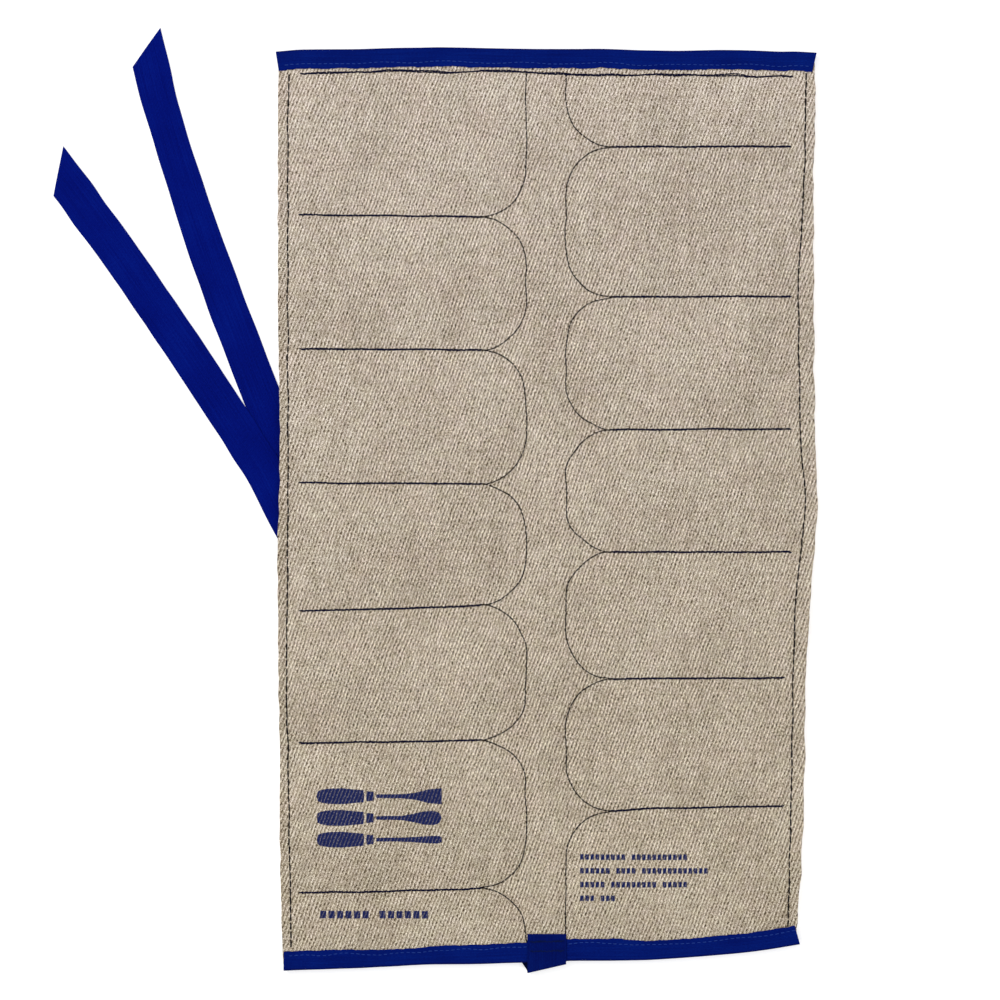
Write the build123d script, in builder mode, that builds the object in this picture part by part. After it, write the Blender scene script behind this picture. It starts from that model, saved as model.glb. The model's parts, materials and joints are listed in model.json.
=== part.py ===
from build123d import *
import math
import os

# A carving tool roll: two layers of heavy linen twill sewn together into two
# facing columns of round-ended pockets, bound at both ends with woven tape and
# closed with two long tape ties. It lies flat, printed face up, pocket mouths
# along the two long sides. +X runs across the roll, +Y towards the end that is
# rolled up first, +Z up. Origin: centre of the footprint, on the table.
# The inner cloth is the lower layer, the outer cloth the upper one. Left and
# right are -X and +X. Points are (x, y) unless a comment says otherwise.

os.makedirs("parts", exist_ok=True)

# ---------------------------------------------------------------- dimensions
cloth_t = 0.9          # one layer of linen twill
pocket_gap = 4.4       # room between the two layers in an empty pocket
tape_t = 0.7           # woven tape, one thickness
tape_w = 25.4          # tie tape width
play = 0.1             # air between tapes that slide over each other
snug = 0.05            # air between sewn layers
closed_gap = 0.01      # air around a seam where the layers lie together
binding_w = 12.5       # binding width showing on each face
fold_gap = 0.2         # gap between neighbouring strips of cloth
fork_r = 31.0          # radius of the pocket's rounded end

thread_w = 0.6         # stitching thread, width of a seam
thread_proud = 0.2     # how far a stitch stands above the cloth
tape_thread_proud = 0.15  # the same above the tape
thread_sink = 0.3      # how deep a stitch pulls into cloth or tape
thread_end_gap = 0.2   # threads stop this far inside a strip's y span
groove_w = 0.8         # the line a pulled-tight seam presses in
groove_sink = thread_sink + 0.05

# cutting and trimming solids
clear = 1.0            # how far a groove cutter stands clear of the surface
tall = 12              # higher than the whole roll
section_plane = Plane.YZ.offset(-130)   # beyond the left side
section_length = 420                    # reaches beyond the right side
section_overshoot = 2.0                 # beyond the sewn end
trim_mid_x = 73

# levels, from the table up
z_tie_a = 0.0
z_tie_b = z_tie_a + tape_t + play
z_binding = z_tie_b + tape_t + play
z_inner = z_binding + tape_t + snug
z_inner_top = z_inner + cloth_t
z_outer = z_inner_top + pocket_gap
z_outer_top = z_outer + cloth_t
z_outer_end = z_inner_top + snug          # outer layer where it is sewn flat
z_outer_end_top = z_outer_end + cloth_t
z_binding_top = z_outer_end_top + snug + tape_t
z_tab = z_binding_top + snug
z_tab_top = z_tab + tape_t

# lines across the roll where it folds between neighbouring tools, from the
# end that is rolled up first: y, x of the left side, x of the right side
folds = [
    (254.8, -104.0, 249.5),
    (210.5, -104.0, 248.2),
    (164.3, -104.0, 246.8),
    (118.1, -104.0, 246.2),
    (73.3, -104.0, 246.2),
    (31.0, -104.0, 248.5),
    (-11.2, -104.0, 251.1),
    (-52.1, -104.0, 247.2),
    (-95.0, -104.0, 244.5),
    (-137.9, -103.6, 243.2),
    (-184.1, -103.0, 242.6),
    (-227.0, -102.0, 241.2),
    (-266.6, -101.3, 239.2),
]
bulge = (252.45, 4.0)                     # the right side stands out a little here
strip_count = len(folds) + 1              # strip 1 is at the +Y end

# y where the outer layer starts to slope down to a sewn end, and where it is down
end_slopes = {1: (268.0, 280.5), strip_count: (-267.4, -279.3)}

# outer edges of the two bindings, left to right
top_edge = [(-105.3, 296.7), (-0.3, 299.3), (135.0, 298.0), (251.1, 294.7)]
bottom_edge = [(-99.3, -309.2), (-22.8, -306.6), (43.2, -304.3),
               (92.7, -303.3), (135.0, -302.9), (168.0, -301.3),
               (201.0, -298.3), (238.6, -292.4)]
top_corners_x = (-104.4, 250.2)           # corners of the cloth in the bindings
bottom_corners_x = (-98.6, 238.0)

# pocket dividers: (y at the mouth, y at the fork) of each
left_dividers = [(188.8, 187.4), (100.3, 99.7), (11.9, 11.2), (-72.6, -68.6),
                 (-159.7, -157.7), (-258.7, -255.4)]
right_dividers = [(234.0, 233.6), (135.0, 134.6), (47.5, 46.9),
                  (-33.7, -33.7), (-116.8, -117.5), (-201.3, -204.6)]
left_mouth_x, left_fork_x = -90.8, 28.6
right_mouth_x, right_fork_x = 234.6, 117.2

# columns of pockets: dividers, x of the mouths, of the forks, of the back seam
pocket_columns = [
    (left_dividers, left_mouth_x, left_fork_x, left_fork_x + fork_r),
    (right_dividers, right_mouth_x, right_fork_x, right_fork_x - fork_r),
]
back_seam_top_y, back_seam_bottom_y = 281.5, -290.6
shortest_back_run = 0.5
seam_reach = 0.5                          # a seam this close to a strip counts as on it
top_seam = ((left_mouth_x, 283.0), (right_mouth_x, 280.2))

# hem stitch lines along the two long sides
hem_left = [(-97.4, 283.0), (-97.4, -131.3), (-96.7, -197.3), (-95.4, -296.3)]
hem_right = [(245.2, 281.2), (243.9, 235.0), (242.6, 197.3), (239.9, 159.1),
             (239.2, 132.7), (240.6, 44.9), (241.9, 23.1), (244.5, 1.3),
             (242.9, -20.5), (240.2, -38.9), (237.3, -65.3), (235.6, -131.3),
             (234.6, -200.6), (233.3, -244.9), (232.0, -280.5)]


# ---------------------------------------------------------------- helpers
def save(part, name):
    part.label = name
    export_step(part, f"parts/{name}.step")


def shift(points, dy, dx=0):
    return [(x + dx, y + dy) for x, y in points]


def point_at(points, x, dy):
    """Point of a polyline at x, moved by dy."""
    for (x0, y0), (x1, y1) in zip(points, points[1:]):
        if x0 <= x <= x1:
            return (x, y0 + (y1 - y0) * (x - x0) / (x1 - x0) + dy)


def strip_outline(i):
    """Outline of strip i."""
    half = fold_gap / 2
    wall = tape_t + snug
    if i == 1:
        y, left_x, right_x = folds[0]
        corner_left, corner_right = top_corners_x
        return [(left_x, y + half), (right_x, y + half),
                point_at(top_edge, corner_right, -wall),
                *reversed(shift(top_edge[1:-1], -wall)),
                point_at(top_edge, corner_left, -wall)]
    if i == strip_count:
        y, left_x, right_x = folds[-1]
        corner_left, corner_right = bottom_corners_x
        return [(right_x, y - half), (left_x, y - half),
                point_at(bottom_edge, corner_left, wall),
                *shift(bottom_edge[1:-1], wall),
                point_at(bottom_edge, corner_right, wall)]
    y_top, top_left_x, top_right_x = folds[i - 2]
    y_low, low_left_x, low_right_x = folds[i - 1]
    top, low = y_top - half, y_low + half
    points = [(top_left_x, top), (low_left_x, low), (low_right_x, low)]
    if low < bulge[1] < top:
        points.append(bulge)
    return points + [(top_right_x, top)]


def y_span(i):
    ys = [y for _, y in strip_outline(i)]
    return min(ys), max(ys)


# Sections across a strip: closed outlines of (y, z) points.
def profile(i, low, high, low_end, high_end, overshoot=0):
    """Section of strip i between two levels, which change towards a sewn end."""
    y0, y1 = y_span(i)
    if i not in end_slopes:
        return [(y0, low), (y1, low), (y1, high), (y0, high)]
    start, stop = end_slopes[i]
    fold, end = (y0, y1 + overshoot) if i == 1 else (y1, y0 - overshoot)
    return [(fold, low), (start, low), (stop, low_end), (end, low_end),
            (end, high_end), (stop, high_end), (start, high), (fold, high)]


def outer_profile(i):
    return profile(i, z_outer, z_outer_top, z_outer_end, z_outer_end_top,
                   section_overshoot)


def face_profile(i, sink, proud):
    """Zone along the upper face of the outer cloth."""
    return profile(i, z_outer_top - sink, z_outer_top + proud,
                   z_outer_end_top - sink, z_outer_end_top + proud)


def back_profile(i, sink, proud):
    """Zone along the underside of the inner cloth."""
    low, high = z_inner - proud, z_inner + sink
    return profile(i, low, high, low, high)


def cavity_profile(i):
    """Space between the two layers."""
    return profile(i, z_inner_top + snug, z_outer - snug,
                   z_inner_top + closed_gap, z_outer_end - closed_gap)


# Seams are lists of runs (start, end, bend): bend 0 is straight; +1 or -1 is a
# quarter circle from a fork to the back seam, above (+Y) or below the divider.
def on_strip(i, run, reach=0):
    ya, yb = run[0][1], run[1][1]
    y0, y1 = y_span(i)
    return min(ya, yb) - reach < y1 and max(ya, yb) + reach > y0


def pocket_runs(i):
    """Runs of the pocket seams on strip i."""
    runs = []
    for dividers, mouth_x, fork_x, back_x in pocket_columns:
        # the straight back seam is interrupted between the two arcs of a fork
        stops = [back_seam_top_y]
        for mouth_y, fork_y in dividers:
            fork = (fork_x, fork_y)
            runs.append(((mouth_x, mouth_y), fork, 0))
            for bend in (1, -1):
                stop_y = fork_y + bend * fork_r
                runs.append((fork, (back_x, stop_y), bend))
                stops.append(stop_y)
        stops.append(back_seam_bottom_y)
        for upper, lower in zip(stops[0::2], stops[1::2]):
            if upper - lower > shortest_back_run:
                runs.append(((back_x, upper), (back_x, lower), 0))
    if i == 1:
        runs.append((*top_seam, 0))
    return [run for run in runs if on_strip(i, run, seam_reach)]


def hem_runs(i):
    """Runs of the two hem stitch lines on strip i."""
    runs = [(a, b, 0) for line in (hem_left, hem_right)
            for a, b in zip(line, line[1:])]
    return [run for run in runs if on_strip(i, run)]


def arc_of(run):
    """Centre, start angle and turn of a curved run."""
    fork, back, bend = run
    way = 1 if back[0] > fork[0] else -1
    return (fork[0], back[1]), -90 * bend, 90 * way * bend


def seam_solid(i, runs, width, sections):
    """Walls standing on the runs, kept only inside the given sections."""
    with BuildPart() as walls:
        with BuildSketch(Plane.XY):
            for run in runs:
                if run[2] == 0:
                    with BuildLine():
                        Line(run[0], run[1])
                    trace(line_width=width)
                else:
                    middle, start, turn = arc_of(run)
                    with BuildLine():
                        wide = CenterArc(middle, fork_r + width / 2, start, turn)
                        tight = CenterArc(middle, fork_r - width / 2, start, turn)
                        Line(wide @ 0, tight @ 0)
                        Line(wide @ 1, tight @ 1)
                    make_face()
        extrude(amount=tall)
        with BuildSketch(section_plane):
            for section in sections:
                with BuildLine():
                    Polyline(*section, close=True)
                make_face()
        extrude(amount=section_length, mode=Mode.INTERSECT)
    return walls.part


def thread_solid(i, runs, sections, joined=None):
    """Stitching on the runs, trimmed short of the folds; joined is added to it."""
    y0, y1 = y_span(i)
    with BuildPart() as thread:
        add(seam_solid(i, runs, thread_w, sections))
        with BuildSketch(Plane.XY):
            with Locations((trim_mid_x, (y0 + y1) / 2)):
                Rectangle(section_length, y1 - y0 - 2 * thread_end_gap)
        extrude(amount=tall, mode=Mode.INTERSECT)
        if joined is not None:
            add(joined)
    return thread.part


# ---------------------------------------------------------------- cloth strips
def cloth_strip(i):
    """Both layers of strip i, with the grooves its stitches press into them."""
    outline = strip_outline(i)
    grooves = seam_solid(i, pocket_runs(i) + hem_runs(i), groove_w,
                         [face_profile(i, groove_sink, clear),
                          back_profile(i, groove_sink, clear)])

    with BuildPart() as outer_cloth:
        with BuildSketch(section_plane):
            with BuildLine():
                Polyline(*outer_profile(i), close=True)
            make_face()
        extrude(amount=section_length)
        with BuildSketch(Plane.XY):
            with BuildLine():
                Polyline(*outline, close=True)
            make_face()
        extrude(amount=tall, mode=Mode.INTERSECT)
        add(grooves, mode=Mode.SUBTRACT)
    save(outer_cloth.part, f"outer_cloth_{i:02d}")

    with BuildPart() as inner_cloth:
        with BuildSketch(Plane.XY.offset(z_inner)):
            with BuildLine():
                Polyline(*outline, close=True)
            make_face()
        extrude(amount=cloth_t)
        add(grooves, mode=Mode.SUBTRACT)
    save(inner_cloth.part, f"inner_cloth_{i:02d}")


def strip_stitching(i):
    """The hem rows lie in each layer; the pocket seams also cross the space
    between the layers and close it."""
    faces = [face_profile(i, thread_sink, thread_proud),
             back_profile(i, thread_sink, 0)]
    hem_rows = thread_solid(i, hem_runs(i), faces)
    stitching = thread_solid(i, pocket_runs(i), faces + [cavity_profile(i)],
                             joined=hem_rows)
    save(stitching, f"stitching_{i:02d}")


for strip in range(1, strip_count + 1):
    cloth_strip(strip)
    strip_stitching(strip)

# ---------------------------------------------------------------- bindings
slot_extra = 2         # the slot for the cloth runs out past the binding's inward edge
slot_end_extra = 1     # and past its two ends

top_row_inset = 9.2    # stitch row from the binding's outer edge
top_row_ends_x = (-103.0, 249.0)
bottom_row_inset = 9.6
bottom_row_ends_x = (-97.0, 236.5)
bare_x = (60.0, 87.2)  # no thread where the tie tab lies over the bottom row


def band(edge, inward, width):
    """Outline of a band of the given width along an end of the roll."""
    return edge + shift(edge, inward * width)[::-1]


def binding(name, edge, inward, stitch_row, bare_span=None):
    """Tape folded over one end of both layers, with its row of stitches.
    inward is the sign of y towards the middle of the roll."""
    row_runs = list(zip(stitch_row, stitch_row[1:]))

    with BuildPart() as row_groove:
        for z, depth in ((z_binding_top - groove_sink, clear),
                         (z_binding - clear, clear + groove_sink)):
            with BuildSketch(Plane.XY.offset(z)):
                for a, b in row_runs:
                    with BuildLine():
                        Line(a, b)
                    trace(line_width=groove_w)
            extrude(amount=depth)

    slot_edge = shift(edge, inward * tape_t)
    slot_edge = (shift(slot_edge[:1], 0, -slot_end_extra) + slot_edge[1:-1]
                 + shift(slot_edge[-1:], 0, slot_end_extra))
    with BuildPart() as tape:
        with BuildSketch(Plane.XY.offset(z_binding)):
            with BuildLine():
                Polyline(*band(edge, inward, binding_w), close=True)
            make_face()
        extrude(amount=z_binding_top - z_binding)
        with BuildSketch(Plane.XY.offset(z_binding + tape_t)):
            with BuildLine():
                Polyline(*band(slot_edge, inward, binding_w + slot_extra), close=True)
            make_face()
        extrude(amount=z_binding_top - z_binding - 2 * tape_t,
                mode=Mode.SUBTRACT)
        add(row_groove.part, mode=Mode.SUBTRACT)
    save(tape.part, name)

    with BuildPart() as row:
        for z, height in ((z_binding_top - thread_sink,
                           thread_sink + tape_thread_proud),
                          (z_binding, thread_sink)):
            with BuildSketch(Plane.XY.offset(z)):
                for a, b in row_runs:
                    if (a[0], b[0]) != bare_span:
                        with BuildLine():
                            Line(a, b)
                        trace(line_width=thread_w)
            extrude(amount=height)
    save(row.part, f"{name}_stitching")


top_row = [point_at(top_edge, top_row_ends_x[0], -top_row_inset),
           *shift(top_edge[1:-1], -top_row_inset),
           point_at(top_edge, top_row_ends_x[1], -top_row_inset)]
binding("top_binding", top_edge, -1, top_row)

bottom_row = [point_at(bottom_edge, bottom_row_ends_x[0], bottom_row_inset),
              *shift(bottom_edge[1:3], bottom_row_inset),
              *[point_at(bottom_edge, x, bottom_row_inset) for x in bare_x],
              *shift(bottom_edge[3:-1], bottom_row_inset),
              point_at(bottom_edge, bottom_row_ends_x[1], bottom_row_inset)]
binding("bottom_binding", bottom_edge, 1, bottom_row, bare_x)

# ---------------------------------------------------------------- tie tab
anchor = (73.6, -290.0)                   # where the ties start, under the tab
tab_x0, tab_x1 = anchor[0] - tape_w / 2, anchor[0] + tape_w / 2
tab_top_y = -285.8
tab_end_y0, tab_end_y1 = -311.52, -305.6  # slanted fold of the tape, left and right
tab_slot_inset0, tab_slot_inset1 = 0.93, 0.48
tab_under_y = -304.3                      # the lower layer ends here
tab_cut_extra = 1                         # cutters run out past the tab
tab_cut_play = 0.1                        # and past the lower layer's faces
tab_rows_y = (-290.4, -297.0)
tab_groove_length = tape_w - 3.0
tab_thread_length = tape_w - 3.4

cut_x0, cut_x1 = tab_x0 - tab_cut_extra, tab_x1 + tab_cut_extra
cut_top_y = tab_top_y + tab_cut_extra

with BuildPart() as tie_tab:
    with BuildSketch(Plane.XY.offset(z_binding)):
        with BuildLine():
            Polyline((tab_x0, tab_top_y), (tab_x0, tab_end_y0),
                     (tab_x1, tab_end_y1), (tab_x1, tab_top_y), close=True)
        make_face()
    extrude(amount=z_tab_top - z_binding)
    # slot for the bound end of the roll
    with BuildSketch(Plane.XY.offset(z_binding + tape_t)):
        with BuildLine():
            Polyline((cut_x0, cut_top_y), (cut_x0, tab_end_y0 + tab_slot_inset0),
                     (cut_x1, tab_end_y1 + tab_slot_inset1), (cut_x1, cut_top_y),
                     close=True)
        make_face()
    extrude(amount=z_tab - z_binding - tape_t, mode=Mode.SUBTRACT)
    # the tape leaves the tab just under the fold
    with BuildSketch(Plane.XY.offset(z_binding - tab_cut_play)):
        with BuildLine():
            Polyline((cut_x0, cut_top_y), (cut_x0, tab_under_y),
                     (cut_x1, tab_under_y), (cut_x1, cut_top_y), close=True)
        make_face()
    extrude(amount=tape_t + 2 * tab_cut_play, mode=Mode.SUBTRACT)
    with BuildSketch(Plane.XY.offset(z_tab_top - groove_sink)):
        for y in tab_rows_y:
            with Locations((anchor[0], y)):
                Rectangle(tab_groove_length, groove_w)
    extrude(amount=clear, mode=Mode.SUBTRACT)
save(tie_tab.part, "tie_tab")

with BuildPart() as tie_tab_stitching:
    with BuildSketch(Plane.XY.offset(z_tab_top - thread_sink)):
        for y in tab_rows_y:
            with Locations((anchor[0], y)):
                Rectangle(tab_thread_length, thread_w)
    extrude(amount=thread_sink + tape_thread_proud)
save(tie_tab_stitching.part, "tie_tab_stitching")

# ---------------------------------------------------------------- ties
# centre lines from the sewn tab to beyond or near the tip
tie_a_line = [anchor, (44.0, -240.0), (-2.3, -167.6), (-36.0, -106.0),
              (-69.6, -35.6), (-95.0, 22.0), (-116.8, 73.3), (-124.1, 93.1),
              (-132.0, 112.9), (-139.6, 132.7), (-153.8, 172.3),
              (-167.0, 211.9), (-179.2, 251.5), (-185.1, 271.3),
              (-190.9, 298.3), (-194.6, 312.4)]
tie_b_line = [anchor, (42.0, -238.0), (3.0, -177.5), (-29.0, -124.0),
              (-59.7, -71.9), (-97.4, -9.2), (-122.4, 33.7), (-135.0, 53.5),
              (-154.0, 82.0), (-174.6, 112.9), (-201.6, 152.5),
              (-230.3, 192.1), (-244.9, 212.0), (-261.8, 236.0)]
tie_a_fold, tie_b_fold = 7, 8             # index of the point where the tape folds
# slanted end cuts, from the right edge of the tape to the left
tip_a = [(-181.8, 311.52), (-199.7, 285.8)]
tip_b = [(-245.9, 231.7), (-252.45, 202.0)]
tip_cut_depth = 60 / 31                   # of the waste beyond a tip, in cut lengths


def direction(points, n):
    """Unit vector along a centre line at point n."""
    xa, ya = points[max(n - 1, 0)]
    xb, yb = points[min(n + 1, len(points) - 1)]
    length = math.hypot(xb - xa, yb - ya)
    return (xb - xa) / length, (yb - ya) / length


def tape_side(points, side):
    """Edge of a tape laid along a centre line; side is 1 for its left, -1 right."""
    edge = []
    for n, (x, y) in enumerate(points):
        dir_x, dir_y = direction(points, n)
        edge.append((x - side * dir_y * tape_w / 2, y + side * dir_x * tape_w / 2))
    return edge


def beyond_tip(tip):
    """Outline of the waste beyond a slanted tip."""
    (px, py), (qx, qy) = tip
    ux, uy = px - qx, py - qy
    near = [(px + ux, py + uy), (qx - ux, qy - uy)]
    return near + shift(near, tip_cut_depth * ux, -tip_cut_depth * uy)[::-1]


def tape_length(name, z, left, right, round_end=None, waste=None):
    """Flat tape between two edges, with a round end added or waste cut off."""
    with BuildPart() as tape:
        with BuildSketch(Plane.XY.offset(z)):
            with BuildLine():
                Spline(*left)
                Line(left[-1], right[-1])
                Spline(*reversed(right))
                Line(right[0], left[0])
            make_face()
            if round_end:
                with Locations(round_end):
                    Circle(tape_w / 2)
            if waste:
                with BuildLine():
                    Polyline(*waste, close=True)
                make_face(mode=Mode.SUBTRACT)
        extrude(amount=tape_t)
    save(tape.part, name)


def tie(name, line, z, fold, tip):
    """One tail of the tie tape, in two lengths that meet at a fold."""
    dir_x, dir_y = direction(line, fold)
    gap_x, gap_y = dir_x * fold_gap / 2, dir_y * fold_gap / 2
    edges = [tape_side(line, side) for side in (1, -1)]
    roots = [edge[:fold] + shift([edge[fold]], -gap_y, -gap_x) for edge in edges]
    tails = [shift([edge[fold]], gap_y, gap_x) + edge[fold + 1:] for edge in edges]
    tape_length(name, z, *roots, round_end=line[0])
    tape_length(f"{name}_tail", z, *tails, waste=beyond_tip(tip))


tie("tie_a", tie_a_line, z_tie_a, tie_a_fold, tip_a)
tie("tie_b", tie_b_line, z_tie_b, tie_b_fold, tip_b)
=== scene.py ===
"""Looks of a linen carving tool roll with blue tape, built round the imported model.

The roll lies open on the floor: x runs across the cloth from its left to its right side, y from
the bottom end to the top end, and z up out of the front layer. It rolls about hinges along x.
Lengths are in millimetres unless noted; the model's frame and Blender are in metres.
"""
import json
import math

import bpy
import numpy as np
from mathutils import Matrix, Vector
from mathutils.kdtree import KDTree


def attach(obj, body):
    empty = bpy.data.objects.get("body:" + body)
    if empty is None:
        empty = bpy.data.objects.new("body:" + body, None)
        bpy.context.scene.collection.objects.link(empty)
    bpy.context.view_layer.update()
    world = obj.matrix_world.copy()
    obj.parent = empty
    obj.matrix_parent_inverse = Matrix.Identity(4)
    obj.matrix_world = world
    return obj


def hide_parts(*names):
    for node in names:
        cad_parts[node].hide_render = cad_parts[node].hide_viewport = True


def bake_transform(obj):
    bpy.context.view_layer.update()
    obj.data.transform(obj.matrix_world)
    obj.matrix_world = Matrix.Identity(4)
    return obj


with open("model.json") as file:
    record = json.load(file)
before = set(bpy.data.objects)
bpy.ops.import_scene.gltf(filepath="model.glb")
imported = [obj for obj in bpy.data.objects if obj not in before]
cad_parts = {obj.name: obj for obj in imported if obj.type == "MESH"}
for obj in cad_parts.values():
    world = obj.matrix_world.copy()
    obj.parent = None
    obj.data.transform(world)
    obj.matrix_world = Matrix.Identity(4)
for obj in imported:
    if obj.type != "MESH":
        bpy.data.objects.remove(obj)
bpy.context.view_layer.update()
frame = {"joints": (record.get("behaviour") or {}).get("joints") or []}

MM = 0.001
TAU = math.tau

# ------------------------------------------------------------------ sizes
STEP_X, STEP_Y = ((1.25, 1.25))   # spacing of the front layer's mesh
SIM_STEP, SIM_COLUMNS = 4.2, 85                          # mesh of the simulated sheet
BACK_COARSER = 1.7        # the back layer's mesh spacing over the front's
CLOTH_WIDTH = 352.0       # nominal, side to side
CLOTH_T = 0.84            # thickness of one cloth layer
HEM_RADIUS = 0.47         # midline radius where a layer folds back on itself
HEM_BACK = 7.4            # how far the folded hem runs back
Z_BACK = 2.80             # midline height of the back layer
Z_SEAM = 3.82             # midline height of the front layer where it is sewn down
Z_HEM = 5.55              # midline height of the front layer's hem between seams
Z_CAP = 7.6               # highest midline of the front layer
TAPE_T = 0.66
TAPE_W = 25.4
BIND_TOP, BIND_LOW = 4.60, 1.95    # midline heights of a binding's two legs

hinges = {joint["name"]: joint for joint in frame["joints"]}
folds = sorted((joint["pos_m"][1] / MM for name, joint in hinges.items()
                if name.startswith("roll_up")), reverse=True)
HINGE_X, _, HINGE_Z = (value / MM for value in hinges["roll_up"]["pos_m"])

# side edges of the cloth: y, left x, right x
EDGES = np.array([
    (300.0, -104.2, 250.4), (281.5, -104.0, 250.5), (265.7, -104.0, 250.9), (249.8, -104.0, 250.6),
    (234.0, -104.0, 250.0), (218.1, -104.0, 249.4), (202.3, -104.0, 249.3), (186.5, -104.0, 249.6),
    (154.8, -103.9, 249.6), (123.1, -104.0, 249.7), (107.2, -103.8, 249.8), (91.4, -103.4, 249.9),
    (75.6, -103.1, 250.0), (59.7, -102.8, 250.4), (43.9, -102.7, 250.6), (28.1, -103.0, 250.9),
    (12.2, -102.9, 251.7), (-2.0, -103.3, 252.3), (-11.0, -103.6, 252.0), (-19.5, -104.0, 251.1),
    (-35.3, -104.4, 249.8), (-51.2, -104.2, 248.5), (-67.0, -104.0, 247.2), (-82.8, -103.9, 246.4),
    (-98.7, -103.8, 245.3), (-114.5, -103.7, 244.3), (-130.3, -103.4, 243.9),
    (-146.2, -103.1, 243.8), (-162.0, -102.7, 243.8), (-177.9, -102.6, 243.6),
    (-193.7, -102.7, 243.1), (-209.6, -102.9, 242.7), (-225.4, -102.6, 242.2),
    (-241.2, -102.4, 241.3), (-257.1, -102.0, 240.2), (-272.9, -101.6, 239.1),
    (-295.0, -101.2, 238.4), (-312.0, -101.0, 238.0)])
# outer edges of the two bindings: x, y
TOP_EDGE = np.array([
    (-105.6, 296.2), (-100.0, 296.6), (-92.0, 297.5), (-77.0, 297.7), (-50.8, 297.8),
    (-37.6, 298.3), (-24.4, 298.7), (-11.2, 298.8), (2.0, 299.1), (15.2, 298.9), (41.6, 298.3),
    (68.0, 297.9), (94.4, 297.9), (107.6, 298.1), (120.8, 297.7), (134.0, 297.1), (160.4, 296.7),
    (186.8, 297.3), (200.0, 297.2), (213.2, 296.8), (226.4, 296.2), (239.6, 295.6),
    (251.6, 294.9)])
BOTTOM_EDGE = np.array([
    (-100.4, -309.6), (-98.3, -309.5), (-86.5, -309.0), (-74.6, -308.7), (-62.7, -308.2),
    (-50.8, -307.9), (-38.9, -307.2), (-27.1, -306.7), (-15.2, -305.9), (-3.3, -305.4),
    (20.5, -305.3), (32.3, -305.1), (44.2, -304.6), (56.1, -304.3), (79.9, -303.4),
    (91.7, -303.0), (115.5, -303.0), (139.3, -302.6), (151.1, -301.9), (163.0, -301.1),
    (174.9, -300.2), (186.8, -299.2), (198.7, -298.2), (210.5, -296.9), (222.4, -295.2),
    (234.3, -293.2), (240.9, -292.0)])
# width of each binding seen from above: x, width
TOP_WIDTHS = np.array([(-110.0, 12.9), (260.0, 12.9)])
BOTTOM_WIDTHS = np.array([
    (-101.0, 12.85), (-63.0, 12.8), (-50.0, 12.4), (-36.6, 11.5), (-10.2, 11.4), (4.0, 12.6),
    (16.0, 12.8), (60.0, 13.4), (95.0, 14.8), (122.0, 14.6), (134.0, 13.3), (148.0, 12.6),
    (201.0, 12.85), (240.0, 12.85)])
# dividers between pockets: y at the mouth, y at the fork where the rounded pocket ends part
LEFT_DIVIDERS = [(188.8, 187.4), (100.3, 99.7), (11.9, 11.2), (-72.6, -68.6), (-159.7, -157.7),
                 (-258.7, -255.4)]
RIGHT_DIVIDERS = [(234.0, 233.6), (135.0, 134.6), (47.5, 46.9), (-33.7, -33.7), (-116.8, -117.5),
                  (-201.3, -204.6)]
RIGHT_INSETS = (0, 0, 0, 0, 4.0, 5.0)      # how far each right divider stops short of the mouth
POCKET_END_R = 31.2
LEFT_MOUTH, LEFT_FORK = -90.8, 28.6        # x of the dividers' ends
LEFT_BACK = LEFT_FORK + POCKET_END_R       # x of the pockets' closed ends
RIGHT_MOUTH, RIGHT_FORK, RIGHT_BACK = 234.6, 117.2, 86.4
# straight seams: x, y
TOP_SEAM = [
    (-90.0, 281.9), (-78.0, 282.3), (-60.0, 282.6), (-40.0, 283.3), (-22.0, 284.2), (-8.0, 284.2),
    (-2.0, 283.2), (8.0, 282.6), (22.0, 283.3), (40.0, 283.9), (60.0, 283.2), (84.0, 281.6),
    (110.0, 281.0), (140.0, 281.4), (175.0, 281.0), (205.0, 280.6), (236.0, 280.0)]
LEFT_HEM_SEAM = [
    (-96.6, 282.0), (-97.2, 270.0), (-97.4, 230.0), (-97.4, 100.0), (-97.2, 40.0), (-97.4, -20.0),
    (-97.8, -72.0), (-98.2, -90.0), (-98.2, -140.0), (-96.9, -180.0), (-96.6, -215.0),
    (-95.6, -262.0), (-95.3, -296.0)]
RIGHT_HEM_SEAM = [
    (244.6, 283.0), (244.2, 265.0), (243.9, 235.0), (242.6, 197.3), (239.9, 159.1),
    (239.2, 132.7), (240.6, 44.9), (241.9, 23.1), (244.5, 1.3), (242.9, -20.5), (240.2, -38.9),
    (237.3, -65.3), (235.6, -131.3), (234.6, -200.6), (233.3, -244.9), (232.6, -281.0)]


# ------------------------------------------------------------------ small maths
def waves(along, scale, seed, count=6):
    """Smooth seeded waviness of about unit size."""
    along = np.asarray(along, float)
    rng = np.random.default_rng(seed)
    out = np.zeros_like(along)
    for _ in range(count):
        out += rng.uniform(0.5, 1.0) * np.sin(
            TAU * along / (scale * rng.uniform(0.6, 1.9)) + rng.uniform(0, TAU))
    return out / math.sqrt(count * 0.3)


def waves2(x, y, scale, seed, count=9):
    """The same over a plane."""
    rng = np.random.default_rng(seed)
    out = np.zeros_like(np.asarray(x, float))
    for _ in range(count):
        angle = rng.uniform(0, TAU)
        rate = TAU / (scale * rng.uniform(0.6, 1.9))
        out += np.sin(rate * (math.cos(angle) * x + math.sin(angle) * y) + rng.uniform(0, TAU))
    return out / math.sqrt(count * 0.5)


def smoothstep(t):
    t = np.clip(t, 0, 1)
    return t * t * (3 - 2 * t)


def dome(offset, width):
    """1 at no offset, falling off as a bell curve."""
    return np.exp(-((offset / width) ** 2))


def unit(v):
    return v / (np.linalg.norm(v, axis=-1, keepdims=True) + 1e-12)


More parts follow.
